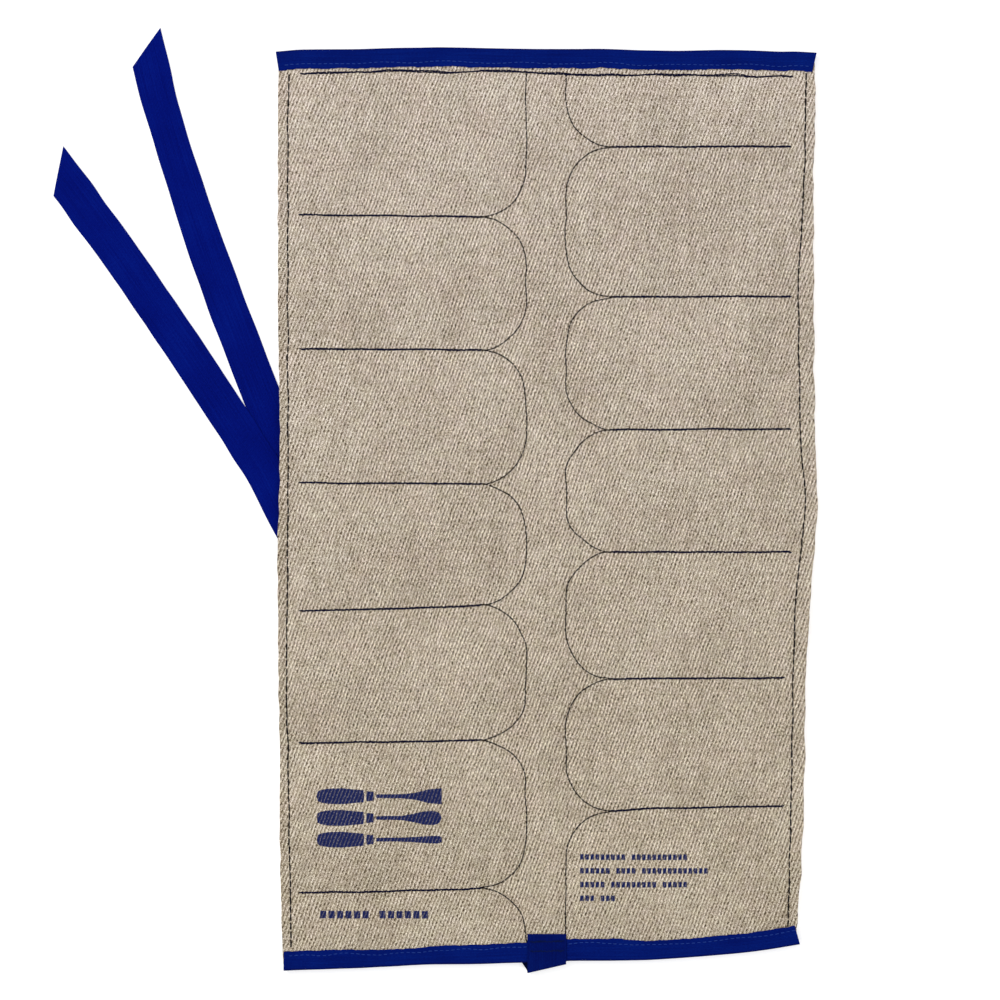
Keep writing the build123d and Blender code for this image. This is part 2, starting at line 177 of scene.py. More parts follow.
def smoothing_kernel(sigma, step, reach):
    count = int(reach * sigma / step)
    kernel = np.exp(-0.5 * (np.arange(-count, count + 1) * step / sigma) ** 2)
    return kernel / kernel.sum(), count


def soft_table(table, sigma, step=0.5):
    """Smooths a table (t, value...); returns a function of t and the value's column."""
    table = table[::-1] if table[0, 0] > table[-1, 0] else table
    grid = np.arange(table[0, 0], table[-1, 0] + step, step)
    kernel, count = smoothing_kernel(sigma, step, 4)
    columns = []
    for values in table.T[1:]:
        v = np.interp(grid, table[:, 0], values)
        lead = v[0] + (v[1] - v[0]) * np.arange(-count, 0)
        tail = v[-1] + (v[-1] - v[-2]) * np.arange(1, count + 1)
        columns.append(np.convolve(np.concatenate([lead, v, tail]), kernel, mode="valid"))
    return lambda t, column=0: np.interp(t, grid, columns[column])


def distance_along(points):
    steps = np.linalg.norm(np.diff(points, axis=0), axis=1)
    return np.concatenate([[0], np.cumsum(steps)])


def resample(points, step):
    """A polyline (n, 2) resampled about every step; returns points and distance along."""
    points = np.asarray(points, float)
    old = distance_along(points)
    new = np.linspace(0, old[-1], max(2, int(round(old[-1] / step)) + 1))
    return np.stack([np.interp(new, old, points[:, c]) for c in (0, 1)], 1), new


def smooth_line(points, sigma, step=0.5):
    """A polyline rounded off at its corners, its ends kept."""
    points, _ = resample(points, step)
    kernel, n = smoothing_kernel(sigma, step, 3)
    out = []
    for v in points.T:
        v = np.concatenate([2 * v[0] - v[n:0:-1], v, 2 * v[-1] - v[-2:-n - 2:-1]])
        out.append(np.convolve(v, kernel, mode="valid"))
    return np.stack(out, 1)


def side_of(points):
    """Unit normals (to the left of travel) of a polyline."""
    t = np.gradient(points, axis=0)
    t /= np.linalg.norm(t, axis=1)[:, None] + 1e-12
    return np.stack([-t[:, 1], t[:, 0]], 1)


def arc(cx, cy, radius, start, end):
    angles = np.radians(np.linspace(start, end, 40))
    return [(cx + radius * math.cos(a), cy + radius * math.sin(a)) for a in angles]


def wobble(points, amount, scale, seed):
    """Sways a polyline sideways, less near its ends."""
    d = distance_along(points)
    fade = smoothstep(d / 4) * smoothstep((d[-1] - d) / 4)
    return points + side_of(points) * (amount * waves(d, scale, seed) * fade)[:, None]


# ------------------------------------------------------------------ outline of the cloth
side_edges = soft_table(EDGES, 5.0)
top_table = soft_table(TOP_EDGE, 3.0)
bottom_table = soft_table(BOTTOM_EDGE, 3.0)


def edge_left(y):
    return side_edges(y, 0) + 0.16 * waves(y, 23, 3) + 0.03 * waves(y, 9, 4)


def edge_right(y):
    return side_edges(y, 1) + 0.24 * waves(y, 24, 5) + 0.03 * waves(y, 9, 6)


def top_outer(x):
    return top_table(x) + 0.55 + 0.6 * smoothstep((np.asarray(x) - 225) / 15)


def bottom_outer(x):
    return bottom_table(x) - 0.6


def top_inner(x):
    return top_outer(x) - np.interp(x, TOP_WIDTHS[:, 0], TOP_WIDTHS[:, 1])


def bottom_inner(x):
    return bottom_outer(x) + np.interp(x, BOTTOM_WIDTHS[:, 0], BOTTOM_WIDTHS[:, 1])


# ------------------------------------------------------------------ seams
def divider_seams():
    for n, (y_mouth, y_fork) in enumerate(LEFT_DIVIDERS):
        line = smooth_line([(LEFT_MOUTH + 0.4 * (n % 2), y_mouth),
                            (LEFT_FORK - 30, y_mouth + (y_fork - y_mouth) * 0.55),
                            (LEFT_FORK + 2, y_fork)], 8)
        yield "divider", wobble(line, 0.13, 40, 20 + n)
    for n, (y_mouth, y_fork) in enumerate(RIGHT_DIVIDERS):
        line = smooth_line([(RIGHT_FORK - 2, y_fork),
                            (RIGHT_FORK + 30, y_mouth + (y_fork - y_mouth) * 0.45),
                            (RIGHT_MOUTH - RIGHT_INSETS[n] + 0.5 * (n % 2), y_mouth)], 8)
        yield "divider", wobble(line, 0.12, 42, 40 + n)


def pocket_end_seams(back, fork, side, dividers, seed):
    """The closed ends of one side's pockets: half rounds, and a long side at top and bottom."""
    radius = POCKET_END_R
    outward, down = (0, -90) if side > 0 else (180, 270)
    ys = [y for _, y in dividers]

    def above(y):
        return arc(fork, y + radius, radius, outward, down)

    def below(y):
        return arc(fork, y - radius, radius, 90, outward)

    def seam(points, amount, scale, number):
        return "back", wobble(smooth_line(points, 3), amount, scale, seed + number)

    yield seam([(back, 283.0)] + above(ys[0]), 0.22, 34, 0)
    for n in range(5):
        yield seam(below(ys[n]) + above(ys[n + 1]), 0.26, 30, n + 1)
    yield seam(below(ys[5]) + [(back + 0.6 * side, -292.0)], 0.22, 30, 7)


seams = [                                  # (kind, points)
    *divider_seams(),
    *pocket_end_seams(LEFT_BACK, LEFT_FORK, 1, LEFT_DIVIDERS, 60),
    *pocket_end_seams(RIGHT_BACK, RIGHT_FORK, -1, RIGHT_DIVIDERS, 80),
    ("top", wobble(smooth_line(TOP_SEAM, 6), 0.16, 26, 101)),
    ("hem", wobble(smooth_line(LEFT_HEM_SEAM, 8), 0.15, 30, 102)),
    ("hem", wobble(smooth_line(RIGHT_HEM_SEAM, 8), 0.15, 30, 103))]
SEWN_DOWN = ("divider", "back", "top")     # the seams that join both layers


def nearest(kinds, x, y):
    """Distance to the nearest seam of these kinds, and distance along it."""
    points, along, offset = [], [], 0.0
    for kind, line in seams:
        line, s = resample(line, 0.7)
        if kind in kinds:
            points.append(line)
            along.append(s + offset)
        offset += s[-1] + 50
    points, along = np.concatenate(points), np.concatenate(along)
    tree = KDTree(len(points))
    for k, point in enumerate(points):
        tree.insert((point[0], point[1], 0), k)
    tree.balance()
    distance, where = np.empty(x.size), np.empty(x.size)
    for k, spot in enumerate(zip(x.ravel(), y.ravel())):
        _, i, distance[k] = tree.find((*spot, 0))
        where[k] = along[i]
    return distance.reshape(x.shape), where.reshape(x.shape)


# ------------------------------------------------------------------ rows and cuts of the cloth
# The cloth is cut into pieces: one flat at each end and one round each fold.
PIECES = 15
Y_TOP, Y_END = 291.8, -303.0
cuts = [Y_TOP, 272.5] + [(a + b) / 2 for a, b in zip(folds[:-1], folds[1:])] + [-277.5, Y_END]
# half length of the bend about each fold
spread = [min(17.0, 0.96 * (cuts[k + 1] - fold), 0.96 * (fold - cuts[k + 2]))
          for k, fold in enumerate(folds)]


def row_values(step):
    """Row values from the top end down, and the index of the row at each cut."""
    rows, marks = [cuts[0]], [0]
    for a, b in zip(cuts[:-1], cuts[1:]):
        n = max(2, int(round((a - b) / step)))
        rows += list(a + (b - a) * np.arange(1, n + 1) / n)
        marks.append(len(rows) - 1)
    return np.array(rows), marks


def cloth_end(x):
    return bottom_outer(x) + 4.8


def y_of(row, x):
    """Row value to real y: rows are level down to the last cut, then fan to the slanted end."""
    share = np.clip((cuts[-2] - row) / (cuts[-2] - cuts[-1]), 0, 1.5)
    return np.where(row >= cuts[-2], row, cuts[-2] + share * (cloth_end(x) - cuts[-2]))


def row_of(y, x):
    share = (cuts[-2] - y) / (cuts[-2] - cloth_end(x))
    return np.where(y >= cuts[-2], y, cuts[-2] + share * (cuts[-1] - cuts[-2]))


def plan(rows, shares):
    """World x and y of a grid of row values and shares of the width."""
    row, share = np.meshgrid(rows, shares, indexing="ij")
    left, right = edge_left(row), edge_right(row)
    x = left + (right - left) * share
    return x, y_of(row, x)


def hem_fade(y, x):
    """1 along the open sides, falling to 0 where the hem enters a binding."""
    return smoothstep((top_inner(x) - y) / 17.0) * smoothstep((y - bottom_inner(x)) / 17.0)


def hem_height(y, side):
    """Midline height of the front layer along a side, pulled down at each divider."""
    x = np.where(side < 0, edge_left(y), edge_right(y))
    z = Z_HEM + 0.28 * waves(y, 70, 11 if side < 0 else 12)
    for y_mouth, _ in (LEFT_DIVIDERS if side < 0 else RIGHT_DIVIDERS):
        z = z - 0.45 * dome(y - y_mouth, 15.0)
    return Z_SEAM + (z - Z_SEAM) * hem_fade(y, x)


# ------------------------------------------------------------------ the front layer's height
# Blender cloth settings, in the order they are set
CLOTH_SETTINGS = dict(
    quality=8, mass=0.05, air_damping=3.0,
    tension_stiffness=18.0, compression_stiffness=14.0, shear_stiffness=6.0,
    bending_stiffness=0.6,
    tension_damping=8.0, compression_damping=8.0, shear_damping=8.0, bending_damping=1.0,
    vertex_group_mass="pin", pin_stiffness=1.0,
    shrink_min=-0.006,                     # the sheet is a little too long between its seams
    use_pressure=True, uniform_pressure_force=1.2)
SIM_FRAMES = 24


def relax(z, pinned, load, turns):
    """A stretched sheet under an even load, held where pinned."""
    for _ in range(turns):
        p = np.pad(z, 1, mode="edge")
        mean = (p[:-2, 1:-1] + p[2:, 1:-1] + p[1:-1, :-2] + p[1:-1, 2:]) / 4
        z = np.where(pinned, z, mean + load)
    return z


def grid_quads(ni, nj):
    i, j = np.meshgrid(np.arange(ni - 1), np.arange(nj - 1), indexing="ij")
    a = (i * nj + j).ravel()
    return np.stack([a, a + nj, a + nj + 1, a + 1], 1)


def simulate(x, y, z, pinned):
    """Presses the sheet up from below with Blender cloth; returns its new x and z."""
    mesh = bpy.data.meshes.new("sheet_sim")
    points = np.stack([x, y, z], -1).reshape(-1, 3) * MM
    mesh.from_pydata(points.tolist(), [], grid_quads(*x.shape).tolist())
    mesh.update()
    ob = bpy.data.objects.new("sheet_sim", mesh)
    scene = bpy.context.scene
    scene.collection.objects.link(ob)
    group = ob.vertex_groups.new(name="pin")
    group.add([int(i) for i in np.where(pinned.ravel())[0]], 1.0, "REPLACE")
    cloth = ob.modifiers.new("Cloth", "CLOTH")
    for key, value in CLOTH_SETTINGS.items():
        setattr(cloth.settings, key, value)
    cloth.settings.effector_weights.gravity = 0.0
    cloth.collision_settings.use_collision = False
    cloth.collision_settings.use_self_collision = False
    scene.frame_start, scene.frame_end = 1, SIM_FRAMES
    cloth.point_cache.frame_start, cloth.point_cache.frame_end = 1, SIM_FRAMES
    for number in range(1, SIM_FRAMES + 1):
        scene.frame_set(number)
    result = ob.evaluated_get(bpy.context.evaluated_depsgraph_get())
    out = np.empty(points.size, np.float32)
    result.data.vertices.foreach_get("co", out)
    out = out.reshape(x.shape + (3,)).astype(float) / MM
    scene.frame_set(1)
    bpy.data.objects.remove(ob)
    bpy.data.meshes.remove(mesh)
    return out[..., 0], out[..., 2]


def billowed_sheet(rows, shares):
    """Heights of the coarse sheet between its seams, and its shift in x."""
    x, y = plan(rows, shares)
    pinned = nearest(SEWN_DOWN, x, y)[0] < 2.2
    pinned |= (y > top_inner(x) + 1.0) | (y < bottom_inner(x) - 1.0)
    held = np.full(x.shape, Z_SEAM)
    for column, side in ((0, -1), (1, -1), (-2, 1), (-1, 1)):
        pinned[:, column] = True
        held[:, column] = hem_height(y[:, column], side)
    z = np.where(pinned, held, Z_SEAM + 0.9)
    z = relax(z, pinned, load=0.006, turns=900)
    z = np.where(pinned, z, z + 0.10 * waves2(x, y, 34, 31))
    new_x, new_z = simulate(x, y, z, pinned)
    return new_z, np.clip(new_x - x, -1.2, 1.2)


def cubic_weights(grid, q):
    """Cubic interpolation weights from an even grid to points q."""
    t = (np.asarray(q, float) - grid[0]) / (grid[1] - grid[0])
    t = np.clip(t, 0, len(grid) - 1)
    i = np.minimum(t.astype(int), len(grid) - 2)
    f = t - i
    out = np.zeros((len(f), len(grid)))
    shares = [(-f + 2 * f**2 - f**3) / 2, (2 - 5 * f**2 + 3 * f**3) / 2,
              (f + 4 * f**2 - 3 * f**3) / 2, (-f**2 + f**3) / 2]
    for k, share in zip((-1, 0, 1, 2), shares):
        np.add.at(out, (np.arange(len(f)), np.clip(i + k, 0, len(grid) - 1)), share)
    return out


def capped(z, softness=1.2):
    """Heights bend over softly below the cap."""
    bend = Z_CAP - softness
    over = np.maximum(z - bend, 0)
    return np.where(z > bend, bend + softness * (1 - np.exp(-over / softness)), z)


def seam_ripple(along):
    """Short ripples that run out from a line of stitches."""
    return np.sin(TAU * along / 6.9 + 1.6 * waves(along, 33, 41))


def add_details(x, y, z):
    """Sinks the front layer at its seams and adds puckers, creases and the flat ends."""
    d, along = nearest(SEWN_DOWN, x, y)
    d_hem, along_hem = nearest(["hem"], x, y)
    open_side = hem_fade(y, x)
    z = np.maximum(z, Z_SEAM - 0.02)
    z = Z_SEAM + (z - Z_SEAM) * (1 - dome(d, 1.9))
    pucker = seam_ripple(along) * (0.55 + 0.45 * waves(along, 45, 42))
    z = z + 0.20 * pucker * np.exp(-d / 5.0) * (1 - dome(d, 1.2))
    pucker = np.sin(TAU * along_hem / 9.3 + 1.3 * waves(along_hem, 41, 43))
    z = z + open_side * (0.10 * pucker * np.exp(-d_hem / 5.0) - 0.42 * dome(d_hem, 1.25))
    z = z + 0.10 * waves2(x, y, 21, 44) * (1 - dome(d, 9.0)) * open_side
    # two small creases above the lower binding
    z = z + (0.55 * dome(x - 1.5 - 0.06 * (y + 280), 2.4)
             * smoothstep((-260.0 - y) / 8) * smoothstep((y + 297.0) / 5))
    z = z + (0.30 * dome(x + 27.0, 3.2)
             * smoothstep((-264.0 - y) / 8) * smoothstep((y + 299.0) / 5))
    clear = np.minimum(top_inner(x) - y, y - bottom_inner(x))
    return Z_SEAM - 0.06 + (capped(z) - Z_SEAM + 0.06) * smoothstep((clear + 0.6) / 9.0)


sim_rows = np.linspace(Y_TOP, Y_END, int((Y_TOP - Y_END) / SIM_STEP) + 1)
sim_shares = np.linspace(0, 1, SIM_COLUMNS)
sheet_z, sheet_shift = billowed_sheet(sim_rows, sim_shares)

front_rows, front_marks = row_values(STEP_Y)
front_columns = int(CLOTH_WIDTH / STEP_X)
EDGE_INSET = CLOTH_T / 2 + HEM_RADIUS      # from the cloth's edge to where the hem starts to turn
front_shares = np.linspace(EDGE_INSET / CLOTH_WIDTH, 1 - EDGE_INSET / CLOTH_WIDTH, front_columns)
front_x, front_y = plan(front_rows, front_shares)
row_weights = cubic_weights(sim_rows, front_rows)
share_weights = cubic_weights(sim_shares, front_shares)
front_z = row_weights @ sheet_z @ share_weights.T
front_shift = row_weights @ sheet_shift @ share_weights.T
for i, x in enumerate(front_x):
    from_side = np.minimum(x - x[0], x[-1] - x)
    front_z[i] = np.interp(x, x + front_shift[i] * smoothstep(from_side / 8.0), front_z[i])
front_z = add_details(front_x, front_y, front_z)


def front_midline(x, y):
    """Height of the front layer's midline at world points."""
    row = row_of(y, x)
    left, right = edge_left(row), edge_right(row)
    i = np.interp(row, front_rows[::-1], np.arange(len(front_rows))[::-1])
    j = np.interp((x - left) / (right - left), front_shares, np.arange(len(front_shares)))
    i0 = np.clip(i.astype(int), 0, len(front_rows) - 2)
    j0 = np.clip(j.astype(int), 0, len(front_shares) - 2)
    fi, fj = i - i0, j - j0
    z = front_z
    return (z[i0, j0] * (1 - fi) * (1 - fj) + z[i0 + 1, j0] * fi * (1 - fj)
            + z[i0, j0 + 1] * (1 - fi) * fj + z[i0 + 1, j0 + 1] * fi * fj)


# ------------------------------------------------------------------ mesh building
def hemmed(x, y, z, down, rows):
    """Adds to each row the fold and the return of its hem, which turns under when down is -1 and
    up when it is 1. Returns the midline points and the cloth's own measure across."""
    radius = (HEM_RADIUS * (0.25 + 0.75 * hem_fade(rows, edge_left(rows))))[:, None]
    turn = np.linspace(0, math.pi, 6)[1:]
    back = np.arange(1, 6) / 5 * HEM_BACK
    measure = np.concatenate([HEM_RADIUS * turn, HEM_RADIUS * math.pi + back])
    parts, measures = [], []
    for side in (-1, 1):
        inward = slice(None, None, -side)
        xs, zs = x[:, inward], z[:, inward]
        edge_x, edge_y, edge_z = xs[:, :1], y[:, inward][:, :1], zs[:, :1]
        return_z = np.stack([np.interp(back, np.abs(row_x - row_x[0]), row_z)
                             for row_x, row_z in zip(xs, zs)])
        part = np.stack([
            np.hstack([edge_x + side * radius * np.sin(turn), edge_x - side * back]),
            np.repeat(edge_y, len(measure), 1),
            np.hstack([edge_z + down * radius * (1 - np.cos(turn)),
                       return_z + down * 2 * radius])], -1)
        parts.append(part[:, ::side])
        measures.append((edge_x + side * measure)[:, ::side])
    main = np.stack([x, y, z], -1)
    return (np.concatenate([parts[0], main, parts[1]], 1),
            np.concatenate([measures[0], x, measures[1]], 1))


def sheet_normals(grid):
    return unit(np.cross(np.gradient(grid, axis=1), -np.gradient(grid, axis=0)))


def build(name, points, quads, uv, normals, materials, slots=None):
    """A mesh object from millimetre points, quads, and one uv and one normal per point."""
    mesh = bpy.data.meshes.new(name)
    mesh.vertices.add(len(points))
    mesh.vertices.foreach_set("co", (points * MM).astype(np.float32).ravel())
    quads = np.asarray(quads, np.int32)
    mesh.loops.add(quads.size)
    mesh.loops.foreach_set("vertex_index", quads.ravel())
    mesh.polygons.add(len(quads))
    mesh.polygons.foreach_set("loop_start", np.arange(0, quads.size, 4, dtype=np.int32))
    layer = mesh.uv_layers.new(name="cloth")
    layer.data.foreach_set("uv", (uv[quads.ravel()] * MM + 0.5).astype(np.float32).ravel())
    for material in materials:
        mesh.materials.append(material)
    if slots is not None:
        mesh.polygons.foreach_set("material_index", np.asarray(slots, np.int32))
    mesh.update(calc_edges=True)
    mesh.validate()
    mesh.polygons.foreach_set("use_smooth", np.ones(len(mesh.polygons), bool))
    mesh.normals_split_custom_set_from_vertices(normals.tolist())
    mesh.update()
    ob = bpy.data.objects.new(name, mesh)
    bpy.context.scene.collection.objects.link(ob)
    return ob


def shell(name, mid, uv, thick, materials, normals=None, top_slots=None, under_slot=0):
    """A closed sheet round a midline grid (ni, nj, 3); uv is (ni, nj, 2)."""
    ni, nj = mid.shape[:2]
    normals = sheet_normals(mid) if normals is None else normals
    half = np.broadcast_to(np.asarray(thick, float), (ni, nj))[..., None] / 2
    n = ni * nj
    points = np.concatenate([(mid + normals * half).reshape(-1, 3),
                             (mid - normals * half).reshape(-1, 3)])
    flat_normals = normals.reshape(-1, 3)
    quads = grid_quads(ni, nj)
    faces = [quads, quads[:, ::-1] + n]
    ids = np.arange(n).reshape(ni, nj)
    for edge in (ids[::-1, 0], ids[:, -1], ids[0, :], ids[-1, ::-1]):
        a, b = edge[:-1], edge[1:]
        faces.append(np.stack([a, b, b + n, a + n], 1))
    faces = np.concatenate(faces)
    slots = np.zeros(len(faces), int)
    if top_slots is not None:
        slots[: len(quads)] = top_slots.ravel()
    slots[len(quads): 2 * len(quads)] = under_slot
    return build(name, points, faces, np.concatenate([uv.reshape(-1, 2)] * 2),
                 np.concatenate([flat_normals, -flat_normals]), materials, slots)


# ------------------------------------------------------------------ shader helpers
def lin(*rgb):
    """A colour from 0 to 255 sRGB parts."""
    parts = (c / 255 for c in rgb)
    return tuple(c / 12.92 if c <= 0.04045 else ((c + 0.055) / 1.055) ** 2.4 for c in parts) + (1.0,)


class Value:
    """A node's output; arithmetic on it adds math nodes."""

    def __init__(self, shader, socket):
        self.shader, self.socket = shader, socket

    def math(self, operation, *others, clamp=False):
        return self.shader.math(operation, self, *others, clamp=clamp)

    def __add__(self, other):
        return self.math("ADD", other)

    def __sub__(self, other):
        return self.math("SUBTRACT", other)

    def __rsub__(self, other):
        return self.shader.math("SUBTRACT", other, self)

    def __mul__(self, other):
        return self.math("MULTIPLY", other)

    def __truediv__(self, other):
        return self.math("DIVIDE", other)

    def scaled(self, factor, offset=0.0, clamp=False):
        return self.math("MULTIPLY_ADD", factor, offset, clamp=clamp)

    def clamped(self, factor, offset):
        """Scaled and offset, then held between 0 and 1."""
        return self.scaled(factor, offset, clamp=True)

    def centred(self, amount):
        """Noise of this amount, level on average."""
        return self.scaled(amount, -amount / 2)

    def pulse(self, centre, half, soft):
        """1 within half of centre on a coordinate that repeats every 1, softly."""
        return (half - (self - centre).math("PINGPONG", 0.5)).clamped(1 / soft, 0.5)


class Shader:
    """One material; x and y are its uv map in mm."""

    def __init__(self, name):
        self.mat = bpy.data.materials.new(name)
        self.mat.use_nodes = True
        self.tree = self.mat.node_tree
        uv = self.tree.nodes.new("ShaderNodeUVMap")
        uv.uv_map = "cloth"
        parts = self.tree.nodes.new("ShaderNodeSeparateXYZ")
        self.tree.links.new(uv.outputs[0], parts.inputs[0])
        self.x, self.y = ((Value(self, parts.outputs[k]) - 0.5) * 1000.0 for k in (0, 1))

    def put(self, socket, value):
        if isinstance(value, Value):
            self.tree.links.new(value.socket, socket)
        else:
            socket.default_value = value

    def node(self, kind, inputs, output=0, **settings):
        """A node; inputs maps socket names or numbers to values. Returns one output."""
        node = self.tree.nodes.new("ShaderNode" + kind)
        for key, value in settings.items():
            setattr(node, key, value)
        for key, value in inputs.items():
            self.put(node.inputs[key], value)
        return Value(self, node.outputs[output])

    def math(self, operation, *values, clamp=False):
        return self.node("Math", dict(enumerate(values)), operation=operation, use_clamp=clamp)

    def vector(self, *values):
        return self.node("CombineXYZ", dict(enumerate(values)))

    def noise_at(self, x, y, seed, detail=1.0, rough=0.5):
        """Noise about 0.5 on average; seed picks the slice."""
        inputs = {"Vector": self.vector(x, y, seed), "Scale": 1.0, "Detail": detail,
                  "Roughness": rough}
        return self.node("TexNoise", inputs, "Fac", noise_dimensions="3D")

    def noise(self, size, seed, **options):
        """Noise whose grains have this size in mm."""
        return self.noise_at(self.x.scaled(1 / size[0]), self.y.scaled(1 / size[1]), seed,
                             **options)

    def white(self, x, y, seed):
        return self.node("TexWhiteNoise", {"Vector": self.vector(x, y, seed)}, "Value",
                         noise_dimensions="3D")

    def ramp(self, fac, stops):
        node = self.tree.nodes.new("ShaderNodeValToRGB")
        elements = node.color_ramp.elements
        while len(elements) < len(stops):
            elements.new(0.5)
        for k, (position, colour) in enumerate(stops):
            elements[k].position = position
            elements[k].color = colour
        self.put(node.inputs[0], fac)
        return Value(self, node.outputs[0])

    def mix(self, fac, a, b, mode="MIX"):
        return self.node("Mix", {0: fac, 6: a, 7: b}, 2, data_type="RGBA", blend_type=mode)

    def tinted(self, fac, colour, *tint):
        return self.mix(fac, colour, self.mix(1.0, colour, (*tint, 1.0), "MULTIPLY"))

    def surface(self, colour, rough, height, bump, depth, specular):
        """Fills in the surface; bump is its strength, depth its height in metres."""
        normal = self.node("Bump", {"Strength": bump, "Distance": depth, "Height": height},
                           "Normal")
        inputs = self.tree.nodes["Principled BSDF"].inputs
        self.put(inputs["Base Color"], colour)
        self.put(inputs["Roughness"], rough)
        self.put(inputs["Specular IOR Level"], specular)
        self.put(inputs["Normal"], normal)
        return self.mat


# ------------------------------------------------------------------ materials
TWILL_COS, TWILL_SIN = 0.937, 0.348        # slope of the twill lines
TWILL_PITCH, FLOAT_LENGTH = 2.25, 3.1      # between twill lines, and between floats along one


def twill(shader):
    """The twill: lines of short raised floats with dark pits between them.
    Returns brightness, height, fibre noise and the place across each line."""
    x, y = shader.x, shader.y
    sway = shader.noise(size=(30, 30), seed=3.1).centred(2.4)
    jitter = shader.noise(size=(1.7, 2.1), seed=7.7).centred(1.15)
    across = x.scaled(TWILL_COS) + y.scaled(-TWILL_SIN) + sway + jitter
    along = x.scaled(TWILL_SIN) + y.scaled(TWILL_COS)
    line = across / TWILL_PITCH
    number = line.math("FLOOR")
    place = line.math("FRACT")
    slide = shader.noise(size=(3.5, 3.5), seed=8.8).centred(2.8)
    # each line's floats start at their own place
    run = (along + number * 1.25 + shader.white(number, 1.0, seed=5.0) * 1.3
           + slide) / FLOAT_LENGTH
    cell = run.math("FLOOR")
    pit_chance = shader.white(number, cell, seed=2.0)
    top_chance = shader.white(number, cell, seed=4.0)
    pit = (place.pulse(centre=0.5, half=0.12, soft=0.13)
           * run.pulse(centre=0.5, half=0.27, soft=0.2))
    # painted shade: darkening the pits between the floats stands for the shade in the weave's
    # hollows
    dark = pit * pit_chance.clamped(1.25, -0.1)
    top = (place.pulse(centre=0.06, half=0.16, soft=0.18)
           * run.pulse(centre=0.15, half=0.36, soft=0.22))
    # painted highlight: brightening the tops of the floats
    light = top * top_chance.math("POWER", 1.3)
    groove = place.pulse(centre=0.5, half=0.16, soft=0.5)
    fibre = shader.noise_at(across / 0.42, along / 1.15, seed=1.0, rough=0.55)
    speck = shader.noise(size=(0.50, 0.55), seed=9.0)
    # brightness: painted shade in the pits and grooves and a painted highlight on the float tops,
    # over fibre and speck noise for the yarns' own tone
    tone = (dark.scaled(-0.47) + light.scaled(0.36) + groove.scaled(-0.13)
            + fibre.centred(1.1) + speck.centred(1.15))
    height = pit.scaled(-0.7) + top.scaled(0.5) + groove.scaled(-0.35) + fibre.scaled(0.5)
    return tone, height, fibre, place


LINEN_TONES = [(0.18, lin(64, 52, 38)), (0.35, lin(104, 90, 72)), (0.48, lin(138, 124, 107)),
               (0.68, lin(187, 174, 160)), (0.82, lin(222, 209, 197)), (0.95, lin(250, 240, 231))]


def linen(name, printed=False, side_tone=0.0):
    shader = Shader(name)
    x, y = shader.x, shader.y
    tone, height, fibre, place = twill(shader)
    # slubs across and along the cloth, then broad clouds
    tone = (tone + (0.678 + side_tone) + y.scaled(0.000045)
            + shader.noise(size=(60, 1.3), seed=11.0).centred(0.16)
            + shader.noise(size=(1.6, 70), seed=12.0).centred(0.14)
            + shader.noise(size=(60, 80), seed=13.0, detail=2.0).centred(0.16))
    # the left edge is a little darker
    tone = tone + (-99.5 - x).clamped(0.4, 0.5).scaled(-0.05)
    base = shader.ramp(tone, LINEN_TONES)
    # patches that lean to yellow and to pink, and more yellow towards the bottom end
    yellow = shader.noise(size=(7, 7), seed=21.0).clamped(2.2, -0.7)
    base = shader.tinted(yellow, base, 0.985, 0.998, 0.93)
    pink = shader.noise(size=(22, 26), seed=22.0, detail=2.0).clamped(2.6, -0.9)
    base = shader.tinted(pink, base, 1.0, 0.965, 0.975)
    base = shader.tinted(y.clamped(-0.002, 0.5), base, 1.0, 1.0, 0.93)
    if printed:
        # raised fibres show through the ink
        ink = print_mask(shader)
        bare = place.pulse(centre=0.06, half=0.12, soft=0.3) * fibre.clamped(2.6, -0.95)
        cover = ink * (0.99 - bare * 0.42)
        blue = shader.mix(fibre.clamped(1.8, -0.4), lin(12, 20, 64), lin(26, 40, 98))
        base = shader.mix(cover, base, blue)
    return shader.surface(base, rough=fibre.scaled(0.2, 0.76), height=height, bump=0.5,
                          depth=0.00022, specular=0.08)


# The print: three chisels in a column, one row of wide bars under them, four rows of small bars.
EMBLEM_X, EMBLEM_W = -78.2, 82.4
EMBLEM_ROWS = (-194.6, -208.9, -223.2)     # y of each chisel
PROFILE_MAX = 6.0                          # half width at the profile ramp's full value
# a chisel's profile: share of its length, half width
HANDLE = [(0.0, 0.0), (0.006, 3.0), (0.03, 4.1), (0.09, 5.0), (0.20, 5.3), (0.30, 4.5),
          (0.375, 4.0), (0.377, 0.0), (0.396, 0.0), (0.398, 3.4), (0.455, 2.9), (0.457, 0.0),
          (0.474, 0.0), (0.476, 1.2), (0.68, 1.4)]
TIPS = ([(0.78, 2.2), (0.90, 4.6), (0.985, 5.2), (1.0, 5.2)],
        [(0.76, 2.6), (0.86, 4.4), (0.93, 4.7), (0.965, 4.0), (0.985, 2.8), (1.0, 0.0)],
        [(0.74, 1.6), (0.90, 2.4), (0.97, 2.6), (1.0, 1.6)])
WIDE_BARS_X, WIDE_BARS_Y, WIDE_BARS_LENGTH, WIDE_BAR_PITCH = -76.2, -272.9, 71.4, 5.6
SMALL_BARS_X, SMALL_BAR_PITCH = 95.4, 3.4
# rows of small bars: y, length, numbers of the bars left out
SMALL_BAR_ROWS = ((-234.8, 70.6, (9,)), (-243.8, 84.2, (6, 11)), (-252.9, 70.6, (5, 15)),
                  (-261.9, 23.0, (3,)))
# parts of the front that carry ink: x from, x to, y from, y to
PRINTED_BOXES = ((EMBLEM_X - 2, EMBLEM_X + EMBLEM_W + 2, -232, -186), (-79, -4, -278, -268),
                 (93, 184, -266, -230))


def box_mask(shader, x, y, half_x, half_y):
    inside_x = half_x - (shader.x - x).math("ABSOLUTE")
    inside_y = half_y - (shader.y - y).math("ABSOLUTE")
    return inside_x.math("MINIMUM", inside_y).clamped(4.0, 0.5)


